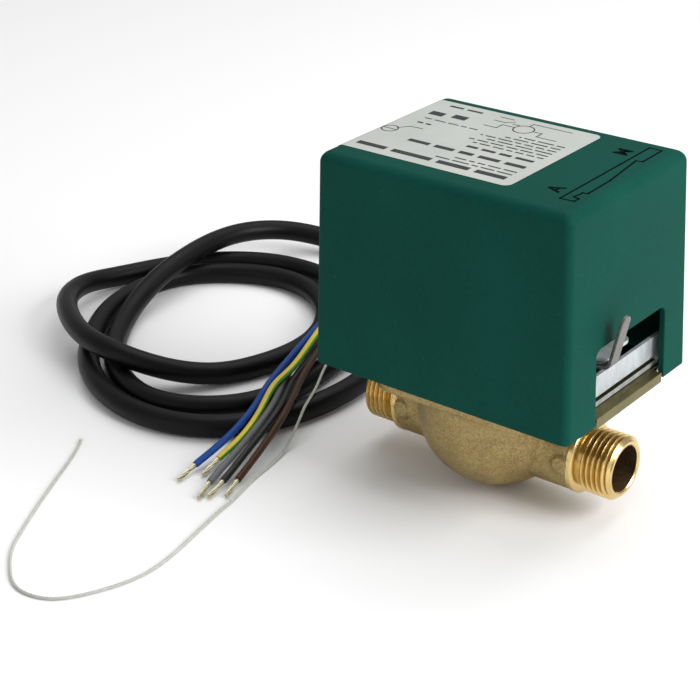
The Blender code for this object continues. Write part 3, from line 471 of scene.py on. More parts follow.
core_finishes["green_yellow"] = striped_insulation()
tinned = finish_of(
    "tinned strands", (0.50, 0.46, 0.30), (0.74, 0.71, 0.52), (0.22, 0.4), (700, 6000, 0.5), 0.1,
    metallic=1.0,
)
CORE_RADIUS = 0.0012
BARE_LENGTH = 0.0086
STRAND_RADIUS = 0.00026
STRAND_RING = 0.0005
STRAND_TWIST = 2.2
for colour, route in CORE_ROUTES.items():
    whole = resting(smooth_route(laid(route), 0.0008), CORE_RADIUS)
    to_end = np.linalg.norm(whole - whole[-1], axis=1)
    covered = whole[to_end > BARE_LENGTH]
    bm = bmesh.new()
    covered_radii = np.full(len(covered), CORE_RADIUS)
    covered_radii[-1] = CORE_RADIUS * 0.92
    covered_radii[0] = CORE_RADIUS * 0.9
    swept(bm, covered, covered_radii, 16)
    core = placed(
        f"core_{colour}_skin", bm, "valve", core_finishes[colour], [f"core_{colour}"],
    )
    bare = whole[to_end < BARE_LENGTH + 0.0004]
    bare = smooth_route(bare[[0, len(bare) // 2, -1]], 0.0006)
    first, second = sides_along(bare)
    bm = bmesh.new()
    for strand in range(7):
        ring_radius = 0.0 if strand == 0 else STRAND_RING
        angles = 2 * math.pi * strand / 6 + STRAND_TWIST * np.linspace(0, 1, len(bare))
        fray = 1 + 0.25 * np.linspace(0, 1, len(bare)) ** 3
        shift = round_the_path(first, second, angles, ring_radius) * fray[:, None]
        swept(bm, bare + shift, STRAND_RADIUS, 8)
    strands = placed(
        f"bare_end_{colour}_strands", bm, "valve", tinned, [f"bare_end_{colour}"],
    )

THREAD_RADIUS = 0.0005
PLY_RADIUS = 0.00027
TURNS_PER_METRE = 260
FRAY_HAIRS = 16
thread_fibre = finish_of(
    "filler thread", (0.40, 0.41, 0.37), (0.60, 0.62, 0.57), (0.75, 0.95), (900, 9000, 0.6), 0.3,
    specular=0.2,
)
thread_path = resting(smooth_route(laid(FILLER_ROUTE), 0.0008), THREAD_RADIUS)
first, second = sides_along(thread_path)
bm = bmesh.new()
for ply in range(3):
    along = np.linspace(0, length_of(thread_path), len(thread_path))
    angles = 2 * math.pi * (ply / 3 + TURNS_PER_METRE * along)
    swept(bm, thread_path + round_the_path(first, second, angles, PLY_RADIUS), PLY_RADIUS, 6)
thread = placed("filler_thread_plies", bm, "valve", thread_fibre, ["filler_thread"])
random.seed(4)
bm = bmesh.new()
tip = thread_path[-1]
ahead = (thread_path[-1] - thread_path[-6]) / np.linalg.norm(thread_path[-1] - thread_path[-6])
for _ in range(FRAY_HAIRS):
    lean = Vector((random.uniform(-0.3, 0.3), random.uniform(-0.3, 0.3), random.uniform(-0.02, 0.25)))
    reach = random.uniform(0.002, 0.0038)
    steps = [
        tip - ahead * 0.0012 + (np.array(ahead) + np.array(lean) * t * 1.2) * reach * t
        for t in np.linspace(0, 1, 6)
    ]
    steps = [np.array((x, y, max(z, floor_height + 0.0002))) for x, y, z in steps]
    swept(bm, np.array(steps), np.linspace(0.00012, 0.00005, 6), 5)
fray = placed("filler_thread_fray", bm, "valve", thread_fibre)


# ---------------------------------------------------------------- valve body
# Sand-cast brass: a round bowl, a square neck through it and a flange on top, with soft fillets and
# a fine sandy skin. The bowl's chamber and the water way are dark with oxide.

PIPE_LENGTH = 0.094
PIPE_MIDDLE = PIPE_LENGTH / 2
BOWL_RADIUS = 0.0257
BOWL_HEIGHT = floor_height + BOWL_RADIUS
NECK_HALF = 0.0108
NECK_CORNER = 0.009
BORE_RADIUS = 0.0075


def turned(profile, steps=64, along="Z", at=(0, 0, 0)):
    """Turns (radius, height) points about an axis. Points off the axis at both ends are joined up."""
    bm = bmesh.new()
    points = [bm.verts.new((radius, 0, height)) for radius, height in profile]
    edges = [bm.edges.new(pair) for pair in zip(points, points[1:])]
    if profile[0][0] > 0:
        edges.append(bm.edges.new((points[-1], points[0])))
    bmesh.ops.spin(
        bm, geom=points + edges, cent=(0, 0, 0), axis=(0, 0, 1), angle=2 * math.pi, steps=steps,
        use_merge=True,
    )
    bmesh.ops.remove_doubles(bm, verts=bm.verts, dist=1e-7)
    turn = {
        "Z": Matrix.Identity(3), "X": Matrix.Rotation(math.pi / 2, 3, "Y"),
        "Y": Matrix.Rotation(-math.pi / 2, 3, "X"),
    }
    bmesh.ops.rotate(bm, verts=bm.verts, cent=(0, 0, 0), matrix=turn[along])
    bmesh.ops.translate(bm, verts=bm.verts, vec=at)
    bmesh.ops.recalc_face_normals(bm, faces=bm.faces)
    return bm


def rounded_box(low, high, edge, radius, steps=6):
    """A box whose edges along one axis, or all of them, are rounded."""
    bm = bmesh.new()
    bmesh.ops.create_cube(bm, size=1.0)
    low, high = Vector(low), Vector(high)
    bmesh.ops.scale(bm, verts=bm.verts, vec=high - low)
    bmesh.ops.translate(bm, verts=bm.verts, vec=(low + high) / 2)
    edges = list(bm.edges)
    if edge != "ALL":
        axis = "XYZ".index(edge)
        edges = [e for e in bm.edges if abs((e.verts[0].co - e.verts[1].co)[axis]) > 1e-6]
    bmesh.ops.bevel(
        bm, geom=edges, offset=radius, offset_type="OFFSET", segments=steps, profile=0.5, affect="EDGES",
        material=-1,
    )
    return bm


def raw_object(bm):
    """A bare object made of the bmesh, for a modifier to work on."""
    mesh = bpy.data.meshes.new("raw")
    bm.to_mesh(mesh)
    bm.free()
    raw = bpy.data.objects.new("raw", mesh)
    scene.collection.objects.link(raw)
    return raw


def combined(first, *others):
    """The first bmesh joined with or cut by the others, each given as (operation, bmesh)."""
    made = [raw_object(bm) for bm in [first] + [other for _, other in others]]
    for (operation, _), tool in zip(others, made[1:]):
        modifier = made[0].modifiers.new("combine", "BOOLEAN")
        modifier.operation = operation
        modifier.object = tool
    result = bmesh.new()
    result.from_object(made[0], bpy.context.evaluated_depsgraph_get())
    for raw in made:
        bpy.data.objects.remove(raw, do_unlink=True)
    return result


def remeshed(bm, voxel, smoothing):
    """The solid as one even skin, with its creases softened as a casting's are."""
    raw = raw_object(bm)
    skin = raw.modifiers.new("skin", "REMESH")
    skin.mode = "VOXEL"
    skin.voxel_size = voxel
    result = bmesh.new()
    result.from_object(raw, bpy.context.evaluated_depsgraph_get())
    bpy.data.objects.remove(raw, do_unlink=True)
    for _ in range(smoothing):
        bmesh.ops.smooth_vert(
            result, verts=result.verts, factor=0.5, use_axis_x=True, use_axis_y=True, use_axis_z=True,
        )
    return result


cast_brass = finish_of(
    "cast brass", (0.27, 0.19, 0.075), (0.47, 0.365, 0.165), (0.42, 0.6), (160, 1500, 0.62), 0.55,
    metallic=0.92,
)
machined_brass = finish_of(
    "machined brass", (0.62, 0.44, 0.17), (0.80, 0.61, 0.28), (0.16, 0.3), (90, 2200, 0.5), 0.1,
    metallic=1.0,
    stretch=(9, 1, 1),
)
oxide_brass = finish_of(
    "oxidised brass", (0.05, 0.028, 0.012), (0.12, 0.07, 0.03), (0.5, 0.75), (120, 1200, 0.5), 0.2,
    metallic=0.6,
)

quarter = [math.radians(90 * k / 20) for k in range(21)]
bowl_outline = [(BOWL_RADIUS * math.sin(a), BOWL_HEIGHT - BOWL_RADIUS * math.cos(a)) for a in quarter]
bowl_outline += [(BOWL_RADIUS, 0.0185), (0, 0.0185)]
chamber_radius = 0.0215
chamber = [(chamber_radius * math.sin(a), BOWL_HEIGHT - chamber_radius * math.cos(a)) for a in quarter[::2]]
chamber += [(chamber_radius, 0.0186), (0.023, 0.0186), (0.023, 0.03), (0, 0.03)]
FLANGE_TOP = 0.0224
NECK_START = 0.0142
PAD_OFFSET = 0.0305
PLATE_SCREW_OFFSET = 0.024
neck_low = (NECK_START, -NECK_HALF, -NECK_HALF)
neck_high = (PIPE_LENGTH - NECK_START, NECK_HALF, NECK_HALF)
casting = [("UNION", rounded_box(neck_low, neck_high, "X", NECK_CORNER, 14))]
casting.append(("UNION", rounded_box((0.0172, -0.0303, 0.0176), (0.0768, 0.0303, FLANGE_TOP), "Z", 0.009)))
for x in (PIPE_MIDDLE - PAD_OFFSET, PIPE_MIDDLE + PAD_OFFSET):
    for side in (-1, 1):
        pad = turned([(0, -0.002), (0.0031, -0.002), (0.0031, 0.0007), (0.0027, 0.001), (0, 0.001)], 24)
        bmesh.ops.rotate(
            pad, verts=pad.verts, cent=(0, 0, 0), matrix=Matrix.Rotation(-side * math.pi / 2, 3, "X"),
        )
        bmesh.ops.translate(pad, verts=pad.verts, vec=(x, side * NECK_HALF, 0.0008))
        casting.append(("UNION", pad))
casting.append(("DIFFERENCE", turned(chamber, 48, at=(PIPE_MIDDLE, 0, 0))))
casting.append(("DIFFERENCE", turned([(0, -0.01), (0.0093, -0.01), (0.0093, 0.104), (0, 0.104)], 48, "X")))
screw_hole = [(0, 0.018), (0.0022, 0.018), (0.0022, 0.03), (0, 0.03)]
for x in (PIPE_MIDDLE - PLATE_SCREW_OFFSET, PIPE_MIDDLE + PLATE_SCREW_OFFSET):
    for y in (-PLATE_SCREW_OFFSET, PLATE_SCREW_OFFSET):
        casting.append(("DIFFERENCE", turned(screw_hole, 20, at=(x, y, 0))))
bm = combined(turned(bowl_outline, 64, at=(PIPE_MIDDLE, 0, 0)), *casting)
bm = remeshed(bm, 0.00062, 3)
for face in bm.faces:
    middle = face.calc_center_median()
    inward = Vector((PIPE_MIDDLE, 0, BOWL_HEIGHT)) - middle
    in_chamber = inward.length < chamber_radius + 0.001 and middle.z < 0.0185
    in_bore = math.hypot(middle.y, middle.z) < 0.0098
    face.material_index = 1 if in_chamber or in_bore else 0
placed("valve_casting", bm, "valve", [cast_brass, oxide_brass], ["valve_body"], 60, False)

# ---------------------------------------------------------------- ports
# Both ends of the casting are turned bright: a collar, an undercut and a G 1/2 thread with a
# chamfered start, round a bored water way that has darkened.

THREAD_OUTSIDE = 0.0209
THREAD_PITCH = 0.001814
THREAD_LENGTH = 0.0104
crest = THREAD_OUTSIDE / 2
root = crest - 0.00116
port_face = 0.0
core_profile = [
    (BORE_RADIUS + 0.0004, port_face), (BORE_RADIUS, 0.0004), (BORE_RADIUS, 0.0163), (0.0099, 0.0163),
    (0.0112, 0.0147), (0.0117, 0.0143), (0.0117, 0.0129), (0.0113, 0.0125), (root - 0.0001, 0.0121),
    (root - 0.0001, 0.0107), (root, 0.0104), (root, 0.0006), (root - 0.0005, port_face),
]
ENVELOPE = [
    (0, port_face + 0.0003), (root - 0.0003, port_face + 0.0003), (crest, 0.0014),
    (crest, THREAD_LENGTH - 0.0003), (root - 0.0003, THREAD_LENGTH + 0.0004), (0, THREAD_LENGTH + 0.0004),
]


def thread_ridge():
    """One sharp ridge wound round the port at the thread's pitch."""
    bm = bmesh.new()
    half = THREAD_PITCH * 0.47
    flat = THREAD_PITCH * 0.07
    outline = [
        (root - 0.0006, -half), (root, -half), (crest, -flat), (crest, flat), (root, half),
        (root - 0.0006, half),
    ]
    points = [bm.verts.new((radius, 0, z - THREAD_PITCH)) for radius, z in outline]
    face = bm.faces.new(points)
    turns = THREAD_LENGTH / THREAD_PITCH + 2
    steps = round(40 * turns)
    bmesh.ops.spin(
        bm, geom=[face] + list(face.edges) + points, cent=(0, 0, 0), axis=(0, 0, 1),
        angle=2 * math.pi * turns,
        dvec=(0, 0, THREAD_PITCH * turns / steps), steps=steps,
    )
    bmesh.ops.recalc_face_normals(bm, faces=bm.faces)
    bmesh.ops.rotate(bm, verts=bm.verts, cent=(0, 0, 0), matrix=Matrix.Rotation(math.pi / 2, 3, "Y"))
    return bm


for name, turn in (("inlet", 0.0), ("outlet", math.pi)):
    ridge = combined(thread_ridge(), ("INTERSECT", turned(ENVELOPE, 48, "X")))
    bm = turned(core_profile, 72, "X")
    for face in bm.faces:
        middle = face.calc_center_median()
        if math.hypot(middle.y, middle.z) < BORE_RADIUS + 0.0001:
            face.material_index = 1
    shell = bpy.data.meshes.new("raw")
    ridge.to_mesh(shell)
    ridge.free()
    bm.from_mesh(shell)
    bpy.data.meshes.remove(shell)
    around = Matrix.Rotation(turn, 3, "Z")
    bmesh.ops.rotate(bm, verts=bm.verts, cent=(0, 0, 0), matrix=around)
    if turn:
        bmesh.ops.translate(bm, verts=bm.verts, vec=(PIPE_LENGTH, 0, 0))
    placed(
        f"{name}_thread", bm, "valve", [machined_brass, oxide_brass], ["valve_body"], 35,
        False,
    )

# ---------------------------------------------------------------- cover
# Pressed steel, enamelled dark green: a tapered box with rounded corners, open below, with a
# window in one end for the lever. The enamel has a slight orange peel, and dust specks in it.

green_enamel = finish_of(
    "green enamel", (0.0036, 0.053, 0.039), (0.0056, 0.067, 0.050), (0.5, 0.62), (26, 1100, 0.35), 0.06,
    specular=0.035,
)


def dust_specks(finish, colour, size, amount):
    """Adds sparse pale specks over a finish's colour."""
    tree = finish.node_tree
    place = tree.nodes["Texture Coordinate"]
    cells = tree.nodes.new("ShaderNodeTexVoronoi")
    cells.inputs["Scale"].default_value = size
    tree.links.new(place.outputs["Object"], cells.inputs["Vector"])
    spot = tree.nodes.new("ShaderNodeMapRange")
    spot.inputs["From Min"].default_value = amount
    spot.inputs["From Max"].default_value = amount * 0.5
    tree.links.new(cells.outputs["Distance"], spot.inputs["Value"])
    mix = tree.nodes.new("ShaderNodeMix")
    mix.data_type = "RGBA"
    mix.inputs["B"].default_value = (*colour, 1)
    tree.links.new(spot.outputs["Result"], mix.inputs["Factor"])
    tree.links.new(tree.nodes["mottle"].outputs["Colour"], mix.inputs["A"])
    tree.links.new(mix.outputs["Result"], tree.nodes["Principled BSDF"].inputs["Base Color"])


dust_specks(green_enamel, (0.05, 0.13, 0.11), 210, 0.045)
cover_low, cover_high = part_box("cover")
COVER_WALL = 0.002
TAPER = (0.00228, 0.00177)
CORNER = 0.0026
TOP_EDGE = 0.0034
INNER_CORNER = 0.0012
INNER_TOP_EDGE = 0.002
EDGE_STEPS = 8


def rounded_outline(middle, half, radius, steps=10):
    """A rectangle's outline with round corners."""
    outline = []
    for turn, (sx, sy) in enumerate(((1, 1), (-1, 1), (-1, -1), (1, -1))):
        for k in range(steps + 1):
            angle = math.radians(90 * (turn + k / steps))
            outline.append((
                middle.x + sx * (half[0] - radius) + radius * math.cos(angle),
                middle.y + sy * (half[1] - radius) + radius * math.sin(angle),
            ))
    return outline


def cover_shell(inset, bottom, top, corner, top_edge):
    """The tapered box with rounded corners and top edge, drawn in by an inset."""
    middle = (cover_low + cover_high) / 2
    widest = (cover_high - cover_low) / 2
    levels = [(bottom, 0.0), (top - top_edge, 0.0)]
    for k in range(1, EDGE_STEPS + 1):
        angle = math.radians(90 * k / EDGE_STEPS)
        levels.append((top - top_edge * (1 - math.sin(angle)), top_edge * (1 - math.cos(angle))))
    bm = bmesh.new()
    rings = []
    for height, shrink in levels:
        share = (height - cover_low.z) / (cover_high.z - cover_low.z)
        half = (widest.x - inset - TAPER[0] * share - shrink, widest.y - inset - TAPER[1] * share - shrink)
        outline = rounded_outline(middle, half, max(INNER_CORNER, corner - shrink * 0.5))
        rings.append([bm.verts.new((x, y, height)) for x, y in outline])
    for below, above in zip(rings, rings[1:]):
        for k in range(len(below)):
            after = (k + 1) % len(below)
            bm.faces.new((below[k], below[after], above[after], above[k]))
    bm.faces.new(rings[0][::-1])
    bm.faces.new(rings[-1])
    return bm


window_low = (PIPE_MIDDLE + 0.036, -0.0185, 0.015)
window_high = (PIPE_MIDDLE + 0.060, 0.0205, cover_low.z + 0.0243)
gland_low, gland_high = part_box("cable_gland")
gland_middle = (gland_low + gland_high) / 2
screw_low, screw_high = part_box("cover_screw")
screw_middle = (screw_low + screw_high) / 2
inside = (cover_low.z - 0.004, cover_high.z - COVER_WALL)
gland_hole = [(0, 0.025), (0.0059, 0.025), (0.0059, 0.04), (0, 0.04)]
cover_screw_hole = [(0, -0.005), (0.0019, -0.005), (0.0019, 0.01), (0, 0.01)]
bm = combined(
    cover_shell(0.0, cover_low.z, cover_high.z, CORNER, TOP_EDGE),
    ("DIFFERENCE", cover_shell(COVER_WALL, *inside, INNER_CORNER, INNER_TOP_EDGE)),
    ("DIFFERENCE", rounded_box(window_low, window_high, "X", 0.0028)),
    ("DIFFERENCE", turned(gland_hole, 40, "Y", (gland_middle.x, 0, gland_middle.z))),
    ("DIFFERENCE", turned(cover_screw_hole, 24, "X", (0, screw_middle.y, screw_middle.z))),
)
bmesh.ops.remove_doubles(bm, verts=bm.verts, dist=1e-6)
bmesh.ops.dissolve_limit(bm, angle_limit=math.radians(0.5), verts=bm.verts, edges=bm.edges)
cover = placed("cover_shell", bm, "valve", green_enamel, ["cover"], 30, False)
worn = cover.modifiers.new("soft edges", "BEVEL")
worn.width = 0.00035
worn.segments = 3
worn.limit_method = "ANGLE"
worn.angle_limit = math.radians(50)
worn.use_clamp_overlap = True

# ---------------------------------------------------------------- rating label
# A thin matt film stuck on the cover and folded over its far edge, with rounded near corners. The
# print is generic: bars for lines of small print, and the wiring symbol of a motor and its contact.

label_film = finish_of(
    "label film", (0.44, 0.46, 0.43), (0.50, 0.52, 0.485), (0.42, 0.55), (45, 2500, 0.3), 0.04,
    specular=0.3,
)
label_ink = finish_of(
    "label ink", (0.012, 0.014, 0.016), (0.03, 0.033, 0.036), (0.45, 0.6), (300, 3000, 0.5), 0.03,
    specular=0.3,
)
LABEL = (0.0016, 0.0652, -0.0240, 0.0271)
FILM = 0.00012
cover_top = cover_high.z
edge_x = cover_low.x + TAPER[0]
fold_x = edge_x + TOP_EDGE


def onto_cover(x, y, lift):
    """The place over the cover's top at x, y: past its far edge, x runs on round the rounded edge."""
    if x >= fold_x:
        return Vector((x, y, cover_top + lift))
    angle = min((fold_x - x) / TOP_EDGE, math.radians(84))
    over = TOP_EDGE + lift
    return Vector((fold_x - over * math.sin(angle), y, cover_top - TOP_EDGE + over * math.cos(angle)))


def laid_on_cover(bm, lift):
    """Cuts a flat shape so that it can follow the fold, then lays it on the cover."""
    for k in range(12):
        bmesh.ops.bisect_plane(
            bm, geom=bm.verts[:] + bm.edges[:] + bm.faces[:], plane_co=(fold_x - 0.0005 * k, 0, 0),
            plane_no=(1, 0, 0),
        )
    for vert in bm.verts:
        vert.co = onto_cover(vert.co.x, vert.co.y, lift + vert.co.z)


def flat_bar(bm, low, high):
    corners = ((low[0], low[1]), (high[0], low[1]), (high[0], high[1]), (low[0], high[1]))
    bm.faces.new([bm.verts.new((x, y, 0)) for x, y in corners])


bm = rounded_box((LABEL[0], LABEL[2], -0.0005), (LABEL[1], LABEL[3], 0.0), "Z", 0.0026, 8)
bmesh.ops.delete(bm, geom=[f for f in bm.faces if f.normal.z < 0.5], context="FACES")
laid_on_cover(bm, FILM)
placed("label_film", bm, "valve", label_film, ["rating_label"], 60, False)

bm = bmesh.new()
random.seed(11)


def print_line(middle, near, far, height, words, gap):
    """One line of print along the pipe, as a row of word-long bars."""
    x = near
    while x > far + height:
        width = min(random.uniform(*words), x - far)
        flat_bar(bm, (x - width, middle - height / 2), (x, middle + height / 2))
        x -= width + gap


print_line(-0.0190, 0.0612, 0.0045, 0.0024, (0.007, 0.015), 0.0022)
print_line(-0.0088, 0.0610, 0.0165, 0.0020, (0.004, 0.010), 0.0019)
print_line(-0.0034, 0.0603, 0.0365, 0.0015, (0.004, 0.007), 0.0014)
for middle, far in ((-0.0158, 0.034), (-0.0134, 0.038), (0.0004, 0.036), (0.0027, 0.033), (0.0050, 0.038),
                    (0.0073, 0.034), (0.0096, 0.041), (0.0119, 0.045)):
    print_line(middle, 0.0612, far, 0.0007, (0.002, 0.006), 0.0010)
print_line(0.0100, 0.0310, 0.0100, 0.0006, (0.002, 0.005), 0.0009)
print_line(0.0056, 0.0165, 0.0105, 0.0010, (0.0018, 0.003), 0.0010)
print_line(0.0236, 0.0235, 0.0085, 0.0012, (0.003, 0.006), 0.0014)
for x, y in ((0.0200, 0.0162), (0.0120, 0.0152)):
    flat_bar(bm, (x - 0.0026, y - 0.0016), (x + 0.0026, y + 0.0016))

LINE = 0.00042


def drawn(bm, path, width=LINE):
    """A printed line of even width along straight runs."""
    for (x0, y0), (x1, y1) in zip(path, path[1:]):
        ahead = Vector((x1 - x0, y1 - y0)).normalized() * width / 2
        side = Vector((-ahead.y, ahead.x))
        a, b = Vector((x0, y0)) - ahead, Vector((x1, y1)) + ahead
        bm.faces.new([bm.verts.new((*p, 0)) for p in (a - side, b - side, b + side, a + side)])


def printed_circle(bm, middle, radius):
    ring = bmesh.ops.create_circle(bm, cap_ends=False, segments=48, radius=radius)["verts"]
    rim = list({edge for vert in ring for edge in vert.link_edges})
    outer = verts_in(bmesh.ops.extrude_edge_only(bm, edges=rim)["geom"])
    bmesh.ops.scale(bm, verts=outer, vec=Vector((1, 1, 1)) * (1 + LINE / radius))
    bmesh.ops.translate(bm, verts=ring + outer, vec=(*middle, 0))


def turned_up(bm):
    """Turns every face of a flat print upward."""
    for face in bm.faces:
        face.normal_update()
        if face.normal.z < 0:
            face.normal_flip()


printed_circle(bm, (0.0423, 0.0183), 0.0031)
printed_circle(bm, (0.0080, -0.0040), 0.0024)
drawn(bm, [(0.0058, -0.0040), (0.0102, -0.0040)])
drawn(bm, [(0.0095, -0.0022), (0.0125, 0.0010), (0.0165, 0.0012)])
drawn(bm, [(0.0456, 0.0183), (0.0490, 0.0183), (0.0490, 0.0150), (0.0560, 0.0150)])
drawn(bm, [(0.0390, 0.0183), (0.0345, 0.0183), (0.0345, 0.0150), (0.0300, 0.0150)])
drawn(bm, [(0.0423, 0.0216), (0.0423, 0.0240), (0.0560, 0.0240)])
drawn(bm, [(0.0300, 0.0205), (0.0340, 0.0205), (0.0365, 0.0225)])
drawn(bm, [(0.0370, 0.0205), (0.0395, 0.0205)])
drawn(bm, [(0.0300, 0.0240), (0.0350, 0.0240)])
turned_up(bm)
laid_on_cover(bm, FILM + 0.00003)
placed("label_print", bm, "valve", label_ink, (), 60, False)

# ---------------------------------------------------------------- lever marks
# Black marks printed straight on the enamel over the window: the lever's slot in outline, and a
# letter at each end of its travel, for automatic and for manual.

mark_ink = finish_of(
    "mark ink", (0.001, 0.004, 0.0035), (0.002, 0.008, 0.007), (0.6, 0.75), (200, 2500, 0.5), 0.03,
    specular=0.02,
)
MARK_LINE = 0.0007
LETTER_SIZE = 0.0066
LETTER_WEIGHT = 0.00022
slot_outline = [
    (0.0817, -0.0227), (0.0814, 0.0266), (0.0856, 0.0264), (0.0857, 0.0152), (0.0837, 0.0148),
    (0.0859, -0.0033),
    (0.0862, -0.0154), (0.0847, -0.0156), (0.0843, -0.0196), (0.0862, -0.0200), (0.0861, -0.0224),
    (0.0817, -0.0227),
]
bm = bmesh.new()
drawn(bm, slot_outline, MARK_LINE)
turned_up(bm)
for letter, place in (("A", (0.0790, -0.0195)), ("M", (0.0790, 0.0165))):
    curve = bpy.data.curves.new("letter", "FONT")
    curve.body = letter
    curve.size = LETTER_SIZE
    curve.offset = LETTER_WEIGHT
    text = bpy.data.objects.new("letter", curve)
    scene.collection.objects.link(text)
    mesh = bpy.data.meshes.new_from_object(text)
    mesh.transform(Matrix.Translation((*place, 0)) @ Matrix.Rotation(math.pi / 2, 4, "Z"))
    bm.from_mesh(mesh)
    bpy.data.objects.remove(text, do_unlink=True)
bmesh.ops.translate(bm, verts=bm.verts, vec=(0, 0, cover_top + 0.00004))
placed("lever_marks", bm, "valve", mark_ink, (), 60, False)

# ---------------------------------------------------------------- gland
# A black rubber bush clipped in the cover's wall. Its tapered sleeve has moulded rings that let it
# bend with the lead.

profile = [
    (0.0042, gland_low.y), (0.0068, gland_low.y), (0.0070, gland_low.y + 0.0003),
    (0.0070, gland_low.y + 0.0028),
]
wall_out = cover_high.y
profile += [(0.0056, gland_low.y + 0.003), (0.0056, wall_out + 0.0001), (0.0074, wall_out + 0.0002)]
profile += [(0.0076, wall_out + 0.0005), (0.0076, wall_out + 0.0021), (0.0072, wall_out + 0.0026)]
sleeve_start = wall_out + 0.0032
sleeve_end = gland_high.y
rings = 6
for k in range(rings):
    share = k / rings
    start = sleeve_start + (sleeve_end - sleeve_start) * share
    pitch = (sleeve_end - sleeve_start) / rings
    outer = 0.0064 - 0.0013 * share
    profile += [(outer, start), (outer, start + pitch * 0.55), (outer - 0.0007, start + pitch * 0.66)]
    profile += [(outer - 0.0008, start + pitch * 0.92)]
profile += [(0.0048, sleeve_end - 0.0002), (0.0042, sleeve_end)]
bm = turned(profile, 48, "Y", (gland_middle.x, 0, gland_middle.z))
placed("gland_sleeve", bm, "valve", gland_rubber, ["cable_gland"], 50, False)


# ---------------------------------------------------------------- lever
# A flat zinc-plated steel lever on the valve's stem. Its finger is a narrow strip bent up and out
# through the window, with a round tip and blunt sheared edges.

zinc_plate = finish_of(
    "zinc plate", (0.50, 0.52, 0.53), (0.74, 0.76, 0.77), (0.2, 0.38), (130, 1500, 0.45), 0.06,
    metallic=1.0, stretch=(1, 5, 1),
)
bright_zinc = finish_of(
    "bright zinc", (0.42, 0.45, 0.46), (0.58, 0.62, 0.63), (0.34, 0.5), (150, 1500, 0.5), 0.08,
    metallic=0.45, stretch=(1, 3, 1),
)
dull_steel = finish_of(
    "dull steel", (0.17, 0.165, 0.155), (0.25, 0.24, 0.23), (0.42, 0.55), (160, 1800, 0.5), 0.08,
    metallic=0.85, stretch=(1, 1, 4),
)
SHEET = 0.0012
LEVER_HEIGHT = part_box("manual_lever")[0].z
STEM = (0.045, 0.011)
front = PIPE_MIDDLE + 0.0445


def arc(middle, radius, start, end, steps):
    turns = [math.radians(start + (end - start) * k / steps) for k in range(steps + 1)]
    return [(middle[0] + radius * math.cos(a), middle[1] + radius * math.sin(a)) for a in turns]


def plate(outline, low, thickness):
    """A flat plate of that outline."""
    bm = bmesh.new()
    face = bm.faces.new([bm.verts.new((x, y, low)) for x, y in outline])
    raised = verts_in(bmesh.ops.extrude_face_region(bm, geom=[face])["geom"])
    bmesh.ops.translate(bm, verts=raised, vec=(0, 0, thickness))
    bmesh.ops.recalc_face_normals(bm, faces=bm.faces)
    return bm


lever_outline = arc(STEM, 0.007, 70, 260, 24) + [(0.066, -0.0045)] + arc(
    (front - 0.002, -0.0113), 0.002, 270, 360, 8,
)
lever_outline += [(front, -0.005), (front - 0.0015, -0.001), (front - 0.0021, 0.002)]
lever_outline += arc((front - 0.0051, 0.005), 0.003, 0, 90, 10) + [(0.066, 0.012)]
bm = combined(
    plate(lever_outline, LEVER_HEIGHT, SHEET),
    ("DIFFERENCE", turned([(0, 0.03), (0.0028, 0.03), (0.0028, 0.05), (0, 0.05)], 32, at=(*STEM, 0))),
)
lever = placed("lever_plate", bm, "stem", bright_zinc, ["manual_lever"], 30, False)


def eased(piece, width, segments=2, angle=40):
    """Rounds a piece's sharp edges a little."""
    bevel = piece.modifiers.new("eased edges", "BEVEL")
    bevel.width = width
    bevel.segments = segments
    bevel.limit_method = "ANGLE"
    bevel.angle_limit = math.radians(angle)
    return piece


eased(lever, 0.00015)
FINGER_HALF = 0.0022
FINGER_MIDDLE = -0.0115
finger_path = [
    (front - 0.0015, LEVER_HEIGHT + 0.0006), (front + 0.0012, LEVER_HEIGHT + 0.0006),
    (front + 0.0024, LEVER_HEIGHT + 0.0011),
    (front + 0.0031, LEVER_HEIGHT + 0.0024), (front + 0.0068, LEVER_HEIGHT + 0.0180),
]
steps = 80
bm = bmesh.new()
bmesh.ops.create_grid(bm, x_segments=steps, y_segments=8, size=0.5)
run = np.concatenate([[0], np.cumsum([math.dist(a, b) for a, b in zip(finger_path, finger_path[1:])])])
for vert in bm.verts:
    along = run[-1] * (1 - (0.5 - vert.co.x) ** 1.8)
    across = vert.co.y * 2
    from_tip = run[-1] - along
    tip = 1.0 if from_tip > FINGER_HALF else math.sqrt(max(0.0, 1 - (1 - from_tip / FINGER_HALF) ** 2))
    x = float(np.interp(along, run, [p[0] for p in finger_path]))
    z = float(np.interp(along, run, [p[1] for p in finger_path]))
    vert.co = (x, FINGER_MIDDLE + across * FINGER_HALF * tip, z)
bmesh.ops.remove_doubles(bm, verts=bm.verts, dist=1e-6)
bmesh.ops.recalc_face_normals(bm, faces=bm.faces)
finger = placed("lever_finger", bm, "stem", dull_steel, (), 50, False)
thick = finger.modifiers.new("sheet", "SOLIDIFY")
thick.thickness = 0.001
thick.offset = 0.0
eased(finger, 0.00018)


# ---------------------------------------------------------------- chassis and inside
# Pressed and turned parts under the cover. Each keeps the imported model's shape, with its facets
# smoothed, its edges eased and a finish of its own.

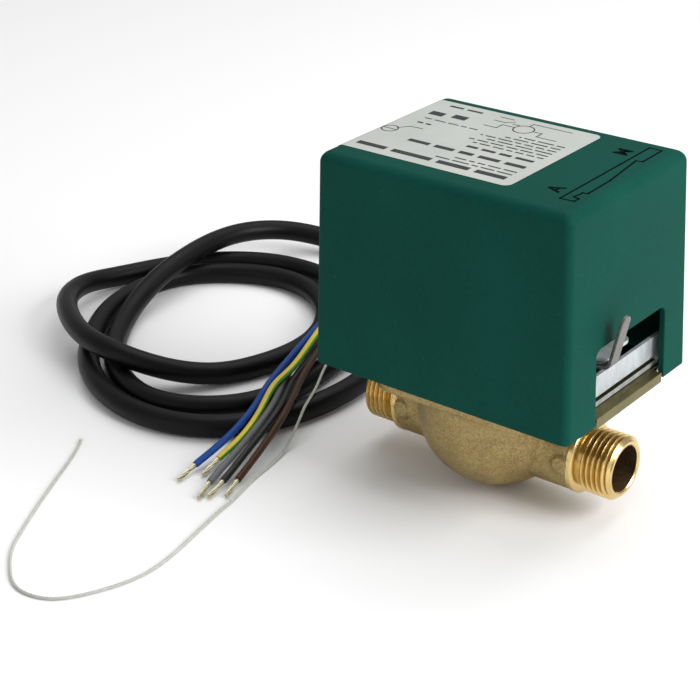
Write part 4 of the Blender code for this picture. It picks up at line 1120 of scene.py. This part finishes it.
steel = finish_of(
    "turned steel", (0.42, 0.42, 0.41), (0.62, 0.62, 0.60), (0.22, 0.4), (200, 2600, 0.5), 0.08,
    metallic=1.0,
)
screw_steel = finish_of(
    "plated screws", (0.46, 0.47, 0.48), (0.68, 0.69, 0.70), (0.25, 0.42), (300, 3200, 0.5), 0.1,
    metallic=1.0,
)
yellow_plate = finish_of(
    "passivated plate", (0.13, 0.112, 0.045), (0.22, 0.19, 0.085), (0.34, 0.5), (70, 1400, 0.5), 0.1,
    metallic=0.9,
    stretch=(1, 3, 1),
)
winding = finish_of(
    "copper winding", (0.30, 0.10, 0.035), (0.50, 0.20, 0.08), (0.3, 0.45), (60, 4000, 0.7), 0.3,
    metallic=0.8, stretch=(1, 1, 14),
)
black_plastic = finish_of(
    "black plastic", (0.012, 0.012, 0.013), (0.024, 0.024, 0.025), (0.38, 0.55), (90, 2200, 0.5), 0.12,
)
white_plastic = finish_of(
    "white plastic", (0.62, 0.61, 0.56), (0.72, 0.71, 0.66), (0.35, 0.5), (70, 1800, 0.5), 0.06,
)
finish_by_slot = {
    "stainless": steel, "bright_brass": machined_brass, "plated_plate": yellow_plate,
    "zinc_plate": zinc_plate,
    "steel_screw": screw_steel, "black_rubber": gland_rubber, "black_plastic": black_plastic,
    "white_plastic": white_plastic,
    "copper_winding": winding, "sheath": sheath_rubber,
}
for colour, finish in core_finishes.items():
    finish_by_slot["wire_" + colour] = finish
slot_of = {part["node"]: part["material_slot"] for part in frame["record"]["subparts"]}
# Height under which the motor bracket, one zinc-plated sheet, takes the darker passivated finish: painted
# shade for the dark gap under its tongue.
PAINTED_SHADE_FOOT_TOP = 0.0272
soft_shapes = {"return_spring", "inner_cable", "rubber_plug", "bonnet_o_ring"}
for name, node in nodes.items():
    if node.hide_render:
        continue
    bm = bmesh.new()
    bm.from_mesh(node.data)
    bmesh.ops.remove_doubles(bm, verts=bm.verts, dist=2e-6)
    flat = [e for e in bm.edges if len(e.link_faces) == 2 and e.calc_face_angle(0) < math.radians(1.0)]
    bmesh.ops.dissolve_edges(bm, edges=flat, use_verts=False)
    slot = slot_of[name]
    finish = finish_by_slot[slot]
    # Painted shade: the motor bracket's foot, under its tongue, is given the darker passivated finish in
    # place of its zinc.
    if name == "motor_bracket":
        finish = [bright_zinc, yellow_plate]
        for face in bm.faces:
            face.material_index = 1 if face.calc_center_median().z < PAINTED_SHADE_FOOT_TOP else 0
    wire = "_wire" in name or name in soft_shapes
    piece = placed(name + "_part", bm, node["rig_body"], finish, [name], 80 if wire else 35, False)
    if not wire:
        eased(piece, 0.00012, 2, 45)
